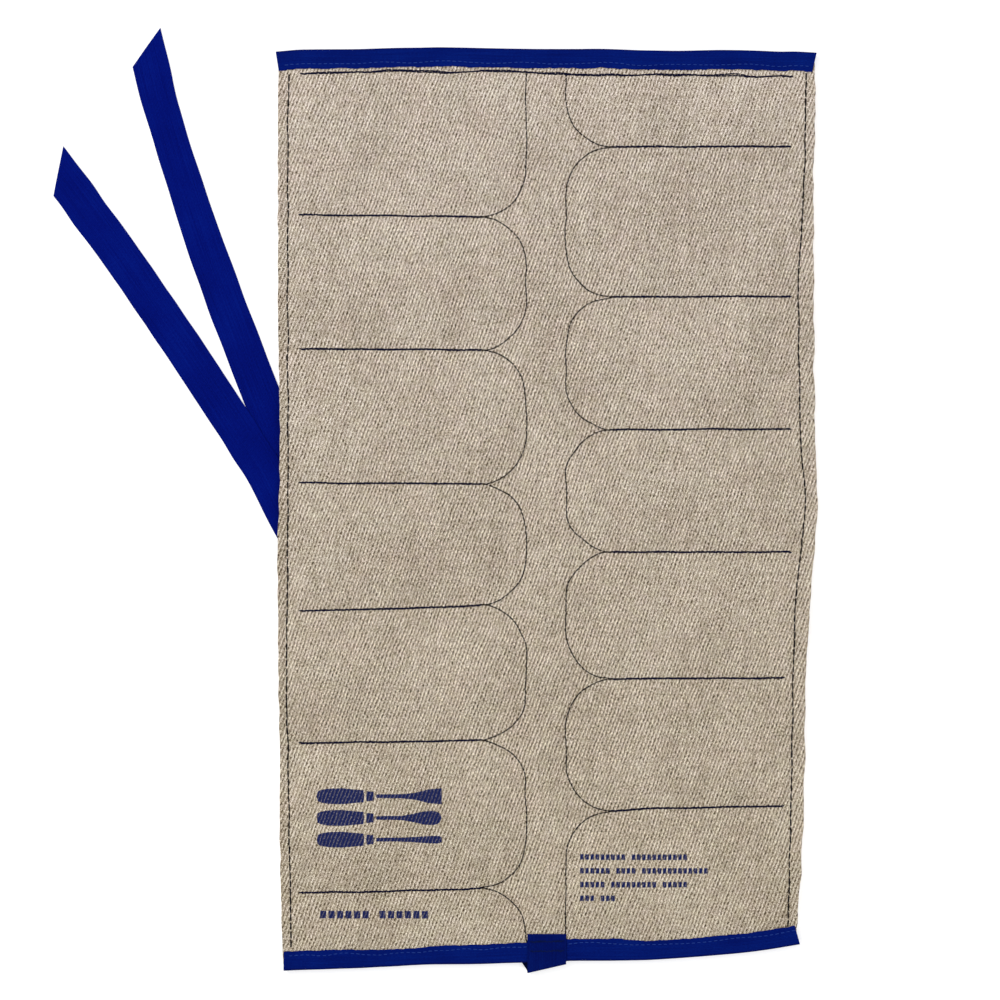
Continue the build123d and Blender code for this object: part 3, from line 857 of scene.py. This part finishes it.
def chisel_mask(shader, share, inside, y, tip):
    stops = [(at, (half / PROFILE_MAX,) * 3 + (1,)) for at, half in HANDLE + tip]
    half = shader.ramp(share, stops) * PROFILE_MAX
    depth = half - (shader.y - y).math("ABSOLUTE")
    return depth.clamped(3.0, 0.5) * (inside * half.math("GREATER_THAN", 0.4))


def bar_row(shader, dashes, left, y, length, half_height, gaps, gap_half):
    """A row of bars with gaps centred at these x."""
    row = dashes * box_mask(shader, left + length / 2, y, length / 2, half_height)
    for x in gaps:
        row = row * (1.0 - box_mask(shader, x, y, gap_half, 4.0))
    return row


def print_mask(shader):
    """1 where there is ink, with ragged edges."""

    def dashes(left, pitch, filled):
        return ((shader.x - left) / pitch).math("FRACT").math("LESS_THAN", filled)

    share = (shader.x - EMBLEM_X) / EMBLEM_W
    inside = share.math("GREATER_THAN", 0.0) * share.math("LESS_THAN", 1.0)
    parts = [chisel_mask(shader, share, inside, y, tip) for y, tip in zip(EMBLEM_ROWS, TIPS)]
    wide = dashes(WIDE_BARS_X, WIDE_BAR_PITCH, filled=0.74)
    parts.append(bar_row(shader, wide, WIDE_BARS_X, WIDE_BARS_Y, WIDE_BARS_LENGTH,
                         half_height=2.5, gaps=[WIDE_BARS_X + 36.1], gap_half=2.6))
    small = dashes(SMALL_BARS_X, SMALL_BAR_PITCH, filled=0.72)
    for y, length, missing in SMALL_BAR_ROWS:
        gaps = [SMALL_BARS_X + SMALL_BAR_PITCH * n + 1.2 for n in missing]
        parts.append(bar_row(shader, small, SMALL_BARS_X, y, length, half_height=1.85,
                             gaps=gaps, gap_half=1.7))
    total = parts[0]
    for part in parts[1:]:
        total = total.math("MAXIMUM", part)
    rag = shader.noise(size=(0.7, 1.1), seed=31.0)
    return (total - rag.scaled(0.5, 0.2)).clamped(4.0, 0.5)


def tape(name, red, green, blue, folded=False):
    """Woven tape: x runs across the tape, y along it."""
    shader = Shader(name)
    x, y = shader.x, shader.y
    warp = shader.noise(size=(8, 30), seed=1.0).centred(0.5)
    rib = ((x + warp) * (TAU / 0.95)).math("SINE")
    pick = (y * (TAU / 0.62)).math("SINE")
    fine = shader.noise(size=(0.5, 1.4), seed=4.0, detail=2.0, rough=0.6)
    streak = shader.noise(size=(0.8, 55), seed=5.0, detail=2.0)
    cloud = shader.noise(size=(26, 34), seed=6.0, detail=3.0, rough=0.55)
    tone = (rib.scaled(0.09, 0.5) + pick.scaled(0.03) + fine.centred(0.9)
            + streak.centred(0.6) + cloud.centred(0.5))
    if folded:
        # painted shade where the tape turns over the cloth's end
        tone = tone + (x.clamped(1.1, -12.3) * x.clamped(-0.5, 8.2)).scaled(-0.26)
    colour = shader.ramp(tone, [(0.1, lin(red * 0.5, green * 0.5, blue * 0.76)),
                                (0.5, lin(red, green, blue)),
                                (0.9, lin(red + 3, green + 14, blue + 18))])
    height = rib.scaled(0.5) + pick.scaled(0.22) + fine.scaled(0.9)
    return shader.surface(colour, rough=fine.scaled(0.2, 0.72), height=height, bump=0.45,
                          depth=0.00016, specular=0.02)


def thread(name, dark, light):
    """Twisted sewing thread: x runs round the thread, y along it."""
    shader = Shader(name)
    ply = ((shader.x * 0.8 + shader.y * 1.0) * (TAU / 0.75)).math("SINE")
    fine = shader.noise(size=(0.5, 1.1), seed=2.0, detail=2.0, rough=0.6)
    tone = ply.scaled(0.22, 0.5) + fine.centred(0.6)
    colour = shader.ramp(tone, [(0.15, lin(*dark)), (0.85, lin(*light))])
    return shader.surface(colour, rough=fine.scaled(0.2, 0.6),
                          height=ply.scaled(0.6) + fine.scaled(0.4), bump=0.5,
                          depth=0.00012, specular=0.05)


LINEN = linen("linen_twill")
LINEN_PRINTED = linen("linen_twill_printed", printed=True)
LINEN_BACK = linen("linen_twill_back", side_tone=-0.02)
BLUE_TAPE = tape("blue_tape", 2, 16, 112)
# the binding's tape carries painted shade along its fold
BLUE_BINDING = tape("blue_binding", 3, 23, 106, folded=True)
BLUE_TAB = tape("blue_tab", 3, 18, 92)
# a darker copy of the tape: painted shadow for the tab's shaded lower part and underside
BLUE_TAPE_PAINTED_SHADOW = tape("blue_tape_painted_shadow", 2, 9, 50)
NAVY_THREAD = thread("navy_thread", (6, 6, 16), (22, 24, 58))
DARK_THREAD = thread("dark_thread", (8, 6, 8), (28, 24, 30))
BLUE_THREAD = thread("blue_thread", (14, 36, 116), (50, 82, 164))
TAB_THREAD = thread("blue_black_thread", (2, 8, 44), (14, 30, 92))


# ------------------------------------------------------------------ cloth layers
def stands_for(ob, slot, *nodes):
    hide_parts(*nodes)


def attach_piece(ob, k, slot, node):
    """The first and last pieces ride the end strips; the others are baked in place."""
    if k == 0:
        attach(ob, "strip_01")
    elif k == PIECES - 1:
        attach(ob, "strip_14")
    else:
        y, half = folds[k - 1], spread[k - 1]
        HINGE_X * MM
        (y - half) * MM
        HINGE_Z * MM
        HINGE_X * MM
        (y + half) * MM
        HINGE_Z * MM
        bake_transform(ob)
    stands_for(ob, slot, f"{node}_{min(PIECES - 1, k + 1):02d}")


def back_layer():
    rows, marks = row_values(STEP_Y * BACK_COARSER)
    inset = (EDGE_INSET + 0.7) / CLOTH_WIDTH
    x, y = plan(rows, np.linspace(inset, 1 - inset, int(front_columns / BACK_COARSER)))
    d, along = nearest(SEWN_DOWN, x, y)
    z = Z_BACK + hem_fade(y, x) * (0.05 * seam_ripple(along) * np.exp(-d / 5)
                                   - 0.10 * (1 - dome(d, 22.0)))
    mid, across = hemmed(x, y, z, 1, rows)
    return mid, np.stack([across + 3.1, mid[..., 1] * -1 + 40.0], -1), marks


def print_slots(mid):
    """1 for the faces of the front that carry ink, none of them in the hems."""
    centre = (mid[:-1, :-1] + mid[1:, :-1] + mid[1:, 1:] + mid[:-1, 1:]) / 4
    x, y = centre[..., 0], centre[..., 1]
    hit = np.zeros(x.shape, int)
    for x0, x1, y0, y1 in PRINTED_BOXES:
        hit[(x > x0) & (x < x1) & (y > y0) & (y < y1)] = 1
    hem = (mid.shape[1] - front_columns) // 2
    hit[:, :hem] = 0
    hit[:, -hem:] = 0
    return hit


def cloth_piece(k, label, node, layer, normals, materials, slots=None):
    mid, uv, marks = layer
    a, b = marks[k], marks[k + 1]
    rows = slice(a, b + 1)
    ob = shell(f"{label}_{k + 1:02d}", mid[rows], uv[rows], CLOTH_T, materials, normals[rows],
               None if slots is None else slots[a:b])
    attach_piece(ob, k, "linen", node)


front_mid, front_across = hemmed(front_x, front_y, front_z, -1, front_rows)
front = (front_mid, np.stack([front_across, front_mid[..., 1]], -1), front_marks)
back = back_layer()
front_normals, back_normals = sheet_normals(front[0]), sheet_normals(back[0])
front_slots = print_slots(front_mid)
for k in range(PIECES):
    cloth_piece(k, "front_cloth", "outer_cloth", front, front_normals, (LINEN, LINEN_PRINTED),
                front_slots)
    cloth_piece(k, "back_cloth", "inner_cloth", back, back_normals, (LINEN_BACK,))

# ------------------------------------------------------------------ stitches
SIDES = 6                                  # of a stitch's section
# stations of one stitch: share of its length, share of its radius, lift in radii
STATIONS = np.array([(0.0, 0.55, -0.22), (0.12, 0.92, 0.12), (0.35, 1.0, 0.30),
                     (0.65, 1.0, 0.30), (0.88, 0.92, 0.12), (1.0, 0.55, -0.22)])


def stitches(line, pitch, length, radius, height, seed, up=1.0, shift=0.0, phase=0.0, sunk=0.12):
    """Single stitches along a line, on a surface whose z is height(x, y).
    Returns points and normals (n, stations, sides, 3), uv, and each stitch's middle y."""
    rng = np.random.default_rng(seed)
    points, s = resample(line, 0.25)
    sideways = side_of(points)
    total = s[-1]
    start = np.arange(phase * pitch + 0.2, total - length * 0.6, pitch)
    count = len(start)

    def vary(low, high):
        return rng.uniform(low, high, count)[:, None]

    start = start[:, None] + vary(-0.18, 0.18)
    share, fat, lift = STATIONS.T
    at = np.clip(start + share * length, 0, total)
    x, y, nx, ny = (np.interp(at, s, v) for v in (*points.T, *sideways.T))
    size = np.hypot(nx, ny)
    nx, ny = nx / size, ny / size
    skew = (vary(-0.10, 0.10) + vary(-0.10, 0.10) * (share - 0.5) * 2) + shift
    x, y = x + nx * skew, y + ny * skew
    z = height(x, y) + up * (lift * radius - vary(0, sunk))
    radii = (radius * fat * vary(0.9, 1.1))[..., None]
    angle = np.arange(SIDES) / SIDES * TAU
    ca, sa = np.cos(angle), np.sin(angle)
    nx, ny = nx[..., None], ny[..., None]
    tubes = np.stack([x[..., None] + nx * radii * ca, y[..., None] + ny * radii * ca,
                      z[..., None] + radii * 0.8 * sa], -1)
    normals = np.stack([nx * ca, ny * ca, np.ones_like(nx) * sa], -1)
    uv = np.stack([np.broadcast_to(angle / TAU * 2.4, tubes.shape[:-1]),
                   np.broadcast_to(at[..., None], tubes.shape[:-1])], -1)
    return tubes, normals, uv, (y[:, 2] + y[:, 3]) / 2


def tube_quads(tubes):
    """Quads of many closed six-sided tubes; each end is two quads."""
    n, stations = tubes.shape[:2]
    first = np.arange(n)[:, None, None] * stations * SIDES
    i, j = np.meshgrid(np.arange(stations - 1), np.arange(SIDES), indexing="ij")
    a, b = i * SIDES + j, i * SIDES + (j + 1) % SIDES
    ring = np.stack([a, b, b + SIDES, a + SIDES], -1).reshape(-1, 4)
    low = np.array([[0, 3, 2, 1], [0, 5, 4, 3]])
    high = np.array([[0, 1, 2, 3], [0, 3, 4, 5]]) + (stations - 1) * SIDES
    return (first + np.concatenate([ring, low, high])).reshape(-1, 4)


def build_stitches(name, sets, materials, set_slots=None):
    """One object from sets of stitches, with one material slot per set if given."""
    quads, first = [], 0
    for tubes, *_ in sets:
        quads.append(tube_quads(tubes) + first)
        first += tubes[..., 0].size
    slots = None if set_slots is None else np.repeat(set_slots, [len(q) for q in quads])
    points = np.concatenate([one[0].reshape(-1, 3) for one in sets])
    normals = np.concatenate([unit(one[1]).reshape(-1, 3) for one in sets])
    uv = np.concatenate([one[2].reshape(-1, 2) for one in sets])
    return build(name, points, np.concatenate(quads), uv, normals, materials, slots)


def level(z):
    return lambda x, y: z


def front_face(x, y):
    return front_midline(x, y) + CLOTH_T / 2


back_face = level(Z_BACK - CLOTH_T / 2)
# stitches of each kind of seam; length, radius and sunk are for the front, under for the back.
# A row is its shift sideways, its phase and its seed step; share scales the front's shift.
SEAM_STITCHES = {
    "divider": dict(pitch=3.3, length=3.25, radius=0.46, sunk=0.06, under=3.0, slot=0, share=0.8,
                    sway=0.0, rows=((0.30, 0.0, 0), (-0.30, 0.5, 1))),
    "top": dict(pitch=3.6, length=3.6, radius=0.50, sunk=0.08, under=3.2, slot=0, share=1.0,
                sway=0.26, rows=((0.30, 0.0, 0), (-0.30, 0.45, 4))),
    "back": dict(pitch=3.2, length=3.2, radius=0.42, sunk=0.15, under=2.7, slot=1, share=1.0,
                 sway=0.0, rows=((0.0, 0.0, 0),)),
    "hem": dict(pitch=5.6, length=5.3, radius=0.54, sunk=0.22, under=4.6, slot=1, share=1.0,
                sway=0.0, rows=((0.0, 0.0, 0),))}


def seam_stitch_sets():
    """Every set of seam stitches with its material slot."""
    for n, (kind, line) in enumerate(seams):
        seed = 300 + n * 7
        make = SEAM_STITCHES[kind]
        for shift, phase, step in make["rows"]:
            yield stitches(wobble(line, make["sway"], 60, seed + step), make["pitch"],
                           make["length"], make["radius"], front_face, seed=seed + step,
                           shift=shift * make["share"], phase=phase,
                           sunk=make["sunk"]), make["slot"]
            yield stitches(line, make["pitch"], make["under"], 0.34, back_face, seed=seed + 3,
                           up=-1.0, shift=shift, phase=phase + 0.5), make["slot"]


piles = [([], []) for _ in range(PIECES)]  # per piece of cloth: stitch sets, their slots
for stitch_set, slot in seam_stitch_sets():
    middle = stitch_set[3]
    place = np.searchsorted(-np.array(cuts), -middle, side="right") - 1
    place = np.clip(place, 0, PIECES - 1)
    for k in np.unique(place):
        piles[k][0].append([part[place == k] for part in stitch_set])
        piles[k][1].append(slot)
for k, (sets, slots) in enumerate(piles):
    ob = build_stitches(f"seam_stitches_{k + 1:02d}", sets, (NAVY_THREAD, DARK_THREAD), slots)
    attach_piece(ob, k, "thread", "stitching")


def loose_stitches(name, sets, material, body, node):
    ob = build_stitches(name, sets, (material,))
    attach(ob, body)
    stands_for(ob, "thread", node)


# ------------------------------------------------------------------ bindings
def binding(name, line, inward, widths, seed, leans, body, node):
    """Tape folded lengthwise over a cloth end. inward is the sign of y towards the cloth;
    leans are how far each end slants in x, as cut."""
    points, s = resample(line, 1.6)
    sideways = side_of(points)
    sideways = sideways * np.sign(sideways[:, 1] * inward)[:, None]
    fold_r = (BIND_TOP - BIND_LOW) / 2
    wide = np.interp(points[:, 0], widths[:, 0], widths[:, 1])
    mean_width = float(wide.mean())
    leg_start = fold_r + 0.45
    legs = np.linspace(mean_width, leg_start, 9)
    turn = np.linspace(0, math.pi, 9)[1:-1]
    # section: in along the upper leg, round the fold, back along the lower leg
    inset = np.concatenate([legs, fold_r + 0.35 - fold_r * np.sin(turn), legs[::-1]])
    section_z = np.concatenate([np.full(len(legs), BIND_TOP),
                                (BIND_TOP + BIND_LOW) / 2 + fold_r * np.cos(turn),
                                np.full(len(legs), BIND_LOW)])
    column = np.arange(len(inset))
    upper = column < len(legs)
    on_leg = upper | (column >= len(legs) + len(turn))
    across = distance_along(np.stack([inset, section_z], 1))
    along, inset = np.meshgrid(s, inset, indexing="ij")
    grow = np.clip((inset - fold_r - 0.45) / (mean_width - fold_r - 0.45), 0, 1)
    inset = inset + grow * (wide - mean_width)[:, None]
    # the upper leg is puffed in the middle and dips along its stitches
    puff = 0.09 * waves(along, 22, seed) + 0.04 * waves(along, 8, seed + 1)
    shape = dome(inset - 5.2, 3.0)
    dip = (-0.16 * dome(inset - (wide[:, None] - 3.1), 0.9)
           * (0.6 + 0.4 * np.cos(TAU * along / 3.7)))
    z = np.broadcast_to(section_z, along.shape)
    z = np.where(upper, z + puff * shape + 0.14 * shape + dip, z)
    sway = (0.15 * waves(s, 20, seed + 2) + 0.10 * waves(s, 5.5, seed + 5)
            + 0.05 * np.sin(TAU * s / 3.7 + waves(s, 19, seed + 3)))[:, None]
    swayed = inset + np.where(on_leg, sway * np.clip((inset - 8.0) / 4.0, 0, 1), 0)
    flat = points[:, None, :] + sideways[:, None, :] * swayed[..., None]
    mid = np.concatenate([flat, z[..., None]], -1)
    for lean, from_end in zip(leans, (s, s[-1] - s)):
        mid[..., 0] += lean * (inset / mean_width) * (1 - smoothstep(from_end / 9.0))[:, None]
    normals = sheet_normals(mid)
    if inward > 0:
        # its section runs the other way, so the rows are turned to keep the upper leg facing up
        mid, normals, along = mid[::-1], -normals[::-1], along[::-1]
    thick = np.full(along.shape, TAPE_T)
    thick[:, 0] = thick[:, -1] = TAPE_T * 0.7
    uv = np.stack([np.broadcast_to(across, along.shape), along], -1)
    ob = shell(name, mid, uv, thick, (BLUE_BINDING,), normals)
    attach(ob, body)
    stands_for(ob, "tape", node)


def binding_stitches(line, seed, sunk):
    """Small stitches on the upper and on the lower leg of a binding."""
    size = dict(line=wobble(line, 0.25, 30, seed), pitch=3.7, length=2.5)
    return [stitches(**size, radius=0.26, height=level(BIND_TOP + TAPE_T / 2 - 0.05),
                     seed=seed + 1, sunk=sunk),
            stitches(**size, radius=0.22, height=level(BIND_LOW - TAPE_T / 2 + 0.15),
                     seed=seed + 2, up=-1.0, sunk=0.0, phase=0.5)]


def between(line, low, high):
    return line[(line[:, 0] > low) & (line[:, 0] < high)]


top_x, bottom_x = np.linspace(-105.5, 251.7, 700), np.linspace(-100.3, 240.6, 700)
binding("end_binding_top", np.stack([top_x, top_outer(top_x)], 1), -1, TOP_WIDTHS, 500,
        (1.1, -2.6), "strip_01", "top_binding")
binding("end_binding_bottom", np.stack([bottom_x, bottom_outer(bottom_x)], 1), 1, BOTTOM_WIDTHS,
        520, (0.7, -1.6), "strip_14", "bottom_binding")

top_row = np.stack([top_x, top_inner(top_x) + 3.2], 1)
loose_stitches("binding_stitches_top",
               binding_stitches(between(top_row, -100, 247), seed=540, sunk=0.12),
               BLUE_THREAD, "strip_01", "top_binding_stitching")
# the bottom row is broken by the tab
bottom_row = np.stack([bottom_x, bottom_inner(bottom_x) - 2.9], 1)
loose_stitches("binding_stitches_bottom",
               binding_stitches(between(bottom_row, -97, 60.2), seed=551, sunk=0.14)
               + binding_stitches(between(bottom_row, 87.2, 238), seed=561, sunk=0.14),
               BLUE_THREAD, "strip_14", "bottom_binding_stitching")

# ------------------------------------------------------------------ the tab that holds the ties
TAB_LEFT, TAB_RIGHT, TAB_TOP = 60.7, 86.3, -285.7
TAB_Z, TAB_LOW_Z = 5.36, 1.97              # midline heights of its upper and lower parts
TAB_FOLD = np.array([(TAB_LEFT, -311.4), (TAB_RIGHT, -305.5)])    # the fold line's two ends
TAB_END_Y = -304.15                        # how far the lower part runs back
TAB_RETURN = np.array((-0.56, 0.83))       # direction of the lower part
TAB_FLAT_ROWS = 22


def tab_column(x):
    """Midline points down the tab at x: over the top, round the fold and back underneath."""
    radius = (TAB_Z - TAB_LOW_Z) / 2
    left, right = TAB_FOLD
    along = unit(right - left)
    outward = np.array((along[1], -along[0]))
    base = left + (right - left) * (x - TAB_LEFT) / (TAB_RIGHT - TAB_LEFT) - outward * radius
    points = [(x, y, TAB_Z) for y in np.linspace(TAB_TOP, base[1], TAB_FLAT_ROWS)]
    for turn in np.linspace(0, math.pi, 9)[1:]:
        points.append((*(base + outward * radius * math.sin(turn)),
                       (TAB_Z + TAB_LOW_Z) / 2 + radius * math.cos(turn)))
    room = max(0.25, (TAB_END_Y - base[1]) / TAB_RETURN[1])
    for k in range(1, 5):
        points.append((*(base + TAB_RETURN * room * k / 4), TAB_LOW_Z))
    return points


def tab():
    xs = np.linspace(TAB_LEFT, TAB_RIGHT, 27)
    mid = np.array([tab_column(x) for x in xs]).transpose(1, 0, 2)
    x, y = mid[..., 0], mid[..., 1]
    # the upper part sags to its top edge and dips at its two rows of stitches
    sag = -0.55 * smoothstep((y + 291.5) / 5.0) + 0.07 * waves2(x, y, 14, 601)
    for row_y in (-290.6, -296.9):
        sag = sag - 0.16 * dome(y - row_y - 0.02 * (x - 73), 0.9)
    mid[:TAB_FLAT_ROWS, :, 2] += sag[:TAB_FLAT_ROWS]
    along = distance_along(mid[:, 13])
    uv = np.stack(np.broadcast_arrays(xs - TAB_LEFT, along[:, None]), -1)
    slots = np.zeros((mid.shape[0] - 1, mid.shape[1] - 1), int)
    slots[TAB_FLAT_ROWS + 2:] = 1          # painted shadow: past the start of the fold, the tab's lower part, in the shade of its upper part, gets a darker copy of the tape
    # the underside also gets the painted-shadow copy of the tape
    ob = shell("tie_holder_tab", mid, uv, TAPE_T, (BLUE_TAB, BLUE_TAPE_PAINTED_SHADOW), top_slots=slots,
               under_slot=1)
    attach(ob, "strip_14")
    stands_for(ob, "tape", "tie_tab")


tab()
sets = []
for n, (y_left, y_right) in enumerate(((-290.9, -290.3), (-297.1, -296.6))):
    line, _ = resample([(61.9, y_left), (85.3, y_right)], 0.5)
    for shift, phase in ((0.25, 0.0), (-0.25, 0.5)):
        sets.append(stitches(wobble(line, 0.15, 9, 610 + n), pitch=2.9, length=2.6, radius=0.30,
                             height=level(TAB_Z + TAPE_T / 2 - 0.10), seed=611 + n,
                             shift=shift, phase=phase, sunk=0.08))
loose_stitches("tab_stitches", sets, TAB_THREAD, "strip_14", "tie_tab_stitching")

# ------------------------------------------------------------------ the two ties
# centre lines from the tab to the far end: x, y
TIE_A = [
    (73.6, -290.0), (44.0, -240.0), (-2.3, -167.6), (-36.0, -106.0), (-69.6, -35.6),
    (-95.0, 22.0), (-110.5, 58.7), (-117.3, 74.6), (-119.8, 82.5), (-126.0, 98.3),
    (-132.2, 114.2), (-138.2, 130.0), (-144.0, 145.9), (-149.8, 161.7), (-155.2, 177.5),
    (-160.5, 193.4), (-165.7, 209.2), (-170.8, 225.1), (-175.6, 240.9), (-180.3, 256.7),
    (-185.0, 272.6), (-188.4, 288.4), (-192.0, 304.3), (-195.4, 318.0)]
TIE_B = [
    (73.6, -290.0), (42.0, -238.0), (3.0, -177.5), (-29.0, -124.0), (-59.7, -71.9),
    (-97.3, -12.5), (-112.6, 19.1), (-122.8, 35.0), (-133.5, 50.8), (-143.3, 66.7),
    (-154.0, 82.5), (-164.4, 98.3), (-175.1, 114.2), (-185.9, 130.0), (-196.8, 145.9),
    (-207.7, 161.7), (-219.3, 177.5), (-231.0, 193.4), (-242.6, 209.2), (-254.5, 225.1),
    (-266.3, 240.9)]
# y, width
WIDTHS_A = [(-400.0, 25.2), (60.0, 25.2), (120.0, 25.3), (160.0, 24.9), (200.0, 23.5),
            (240.0, 22.7), (260.0, 23.2), (280.0, 24.2), (330.0, 24.4)]
WIDTHS_B = [(-400.0, 25.2), (100.0, 25.1), (160.0, 24.9), (200.0, 25.3), (260.0, 25.3)]


def length_to_cut(points, s, tip):
    """Distance along a polyline to the slanted cut, or its whole length if they don't meet."""
    (x0, y0), (x1, y1) = tip
    side = (points[:, 0] - x0) * (y1 - y0) - (points[:, 1] - y0) * (x1 - x0)
    far = np.where(s > s[-1] - 110)[0]
    past = far[np.where(np.sign(side[far]) != np.sign(side[far[0]]))[0]]
    if not len(past):
        return s[-1]
    k = past[0]
    return s[k - 1] + side[k - 1] / (side[k - 1] - side[k]) * (s[k] - s[k - 1])


def tie(name, line, widths, z, tip, nodes, lift, seed):
    """One level tape, its far end cut on a slant along tip."""
    points, s = resample(smooth_line(line, 9), 1.5)
    sideways = side_of(points)
    offsets = np.linspace(-TAPE_W / 2, TAPE_W / 2, 25)
    ends = np.array([length_to_cut(points + sideways * offset, s, tip) for offset in offsets])
    # rows are square to the tape up to here, then turn to meet the cut
    square = ends.min() - 45
    rows = np.concatenate([np.arange(0, square, 1.5), np.linspace(square, ends.max(), 70)])
    rows = rows[:, None]
    stretch = (ends[None, :] - square) / (ends.max() - square)
    along = np.where(rows < square, rows, square + (rows - square) * stretch)
    x, y, nx, ny = (np.interp(along, s, v) for v in (*points.T, *sideways.T))
    width = np.interp(y, *np.array(widths).T)
    across = offsets * width / TAPE_W + 0.12 * waves(along, 37, seed + 1)
    mid = np.stack([x + nx * across, y + ny * across, z + 0.02 * waves2(x, y, 22, seed + 2)], -1)
    thick = np.full(along.shape, TAPE_T - 0.04)
    thick[:, 0] = thick[:, -1] = 0.5
    ob = shell(name, mid, np.stack([across + 20, along], -1), thick, (BLUE_TAPE,))
    joint = hinges[lift]
    pos = np.array(joint["pos_m"])
    to_tail = np.cross((0, 0, 1), np.array(joint["axis"], float))
    if to_tail[1] < 0:
        to_tail = -to_tail
    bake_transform(ob)
    stands_for(ob, "tape", *nodes)


tie("tie_long_a", TIE_A, WIDTHS_A, z=0.35, tip=[(-182.0, 311.9), (-200.8, 287.0)],
    nodes=("tie_a", "tie_a_tail"), lift="tie_a_lift", seed=700)
tie("tie_long_b", TIE_B, WIDTHS_B, z=1.15, tip=[(-246.2, 232.8), (-252.6, 201.6)],
    nodes=("tie_b", "tie_b_tail"), lift="tie_b_lift", seed=710)


# ------------------------------------------------------------------ floor, light, camera (metres)
def add_object(name, data, location):
    ob = bpy.data.objects.new(name, data)
    bpy.context.scene.collection.objects.link(ob)
    ob.location = location
    return ob


def add_floor(half=25):
    mesh = bpy.data.meshes.new("floor")
    corners = [(-half, -half, 0), (half, -half, 0), (half, half, 0), (-half, half, 0)]
    mesh.from_pydata(corners, [], [(0, 1, 2, 3)])
    floor = add_object("floor", mesh, (0, 0, -0.0002))
    material = bpy.data.materials.new("floor_white")
    material.use_nodes = True
    for key, value in {"Base Color": (0.80, 0.80, 0.80, 1), "Roughness": 0.9,
                       "Specular IOR Level": 0.1, "Emission Color": (1, 1, 1, 1),
                       "Emission Strength": 0.5}.items():
        material.node_tree.nodes["Principled BSDF"].inputs[key].default_value = value
    mesh.materials.append(material)


def add_world(strength):
    world = bpy.data.worlds.new("studio")
    bpy.context.scene.world = world
    world.use_nodes = True
    background = world.node_tree.nodes["Background"]
    background.inputs[0].default_value = (1, 1, 1, 1)
    background.inputs[1].default_value = strength


def add_area_light(name, location, size, power):
    """A square light aimed at the middle of the cloth."""
    light = bpy.data.lights.new(name, "AREA")
    light.shape = "SQUARE"
    light.size = size
    light.energy = power
    ob = add_object(name, light, location)
    aim = np.array((0.04, 0.0, 0.0)) - np.array(location)
    ob.rotation_mode = "QUATERNION"
    ob.rotation_quaternion = Vector(aim).to_track_quat("-Z", "Y")


def add_camera(x, y, half_view, lift):
    """Looks straight down; half_view is half the width seen at height lift."""
    camera = bpy.data.cameras.new("camera")
    camera.lens = 135
    camera.sensor_width = 36
    camera.clip_end = 20
    distance = half_view / (camera.sensor_width / 2 / camera.lens)
    bpy.context.scene.camera = add_object("camera", camera, (x, y, distance + lift))


add_floor()
add_world(strength=0.66)
add_area_light("key", (-1.7, 1.5, 1.9), size=0.8, power=38)
add_area_light("fill", (1.6, -1.2, 2.4), size=1.6, power=9)
add_camera(x=0.04257, y=0.00066, half_view=0.33, lift=0.004)
bpy.context.scene.view_settings.view_transform = "Standard"
bpy.context.scene.view_settings.look = "None"
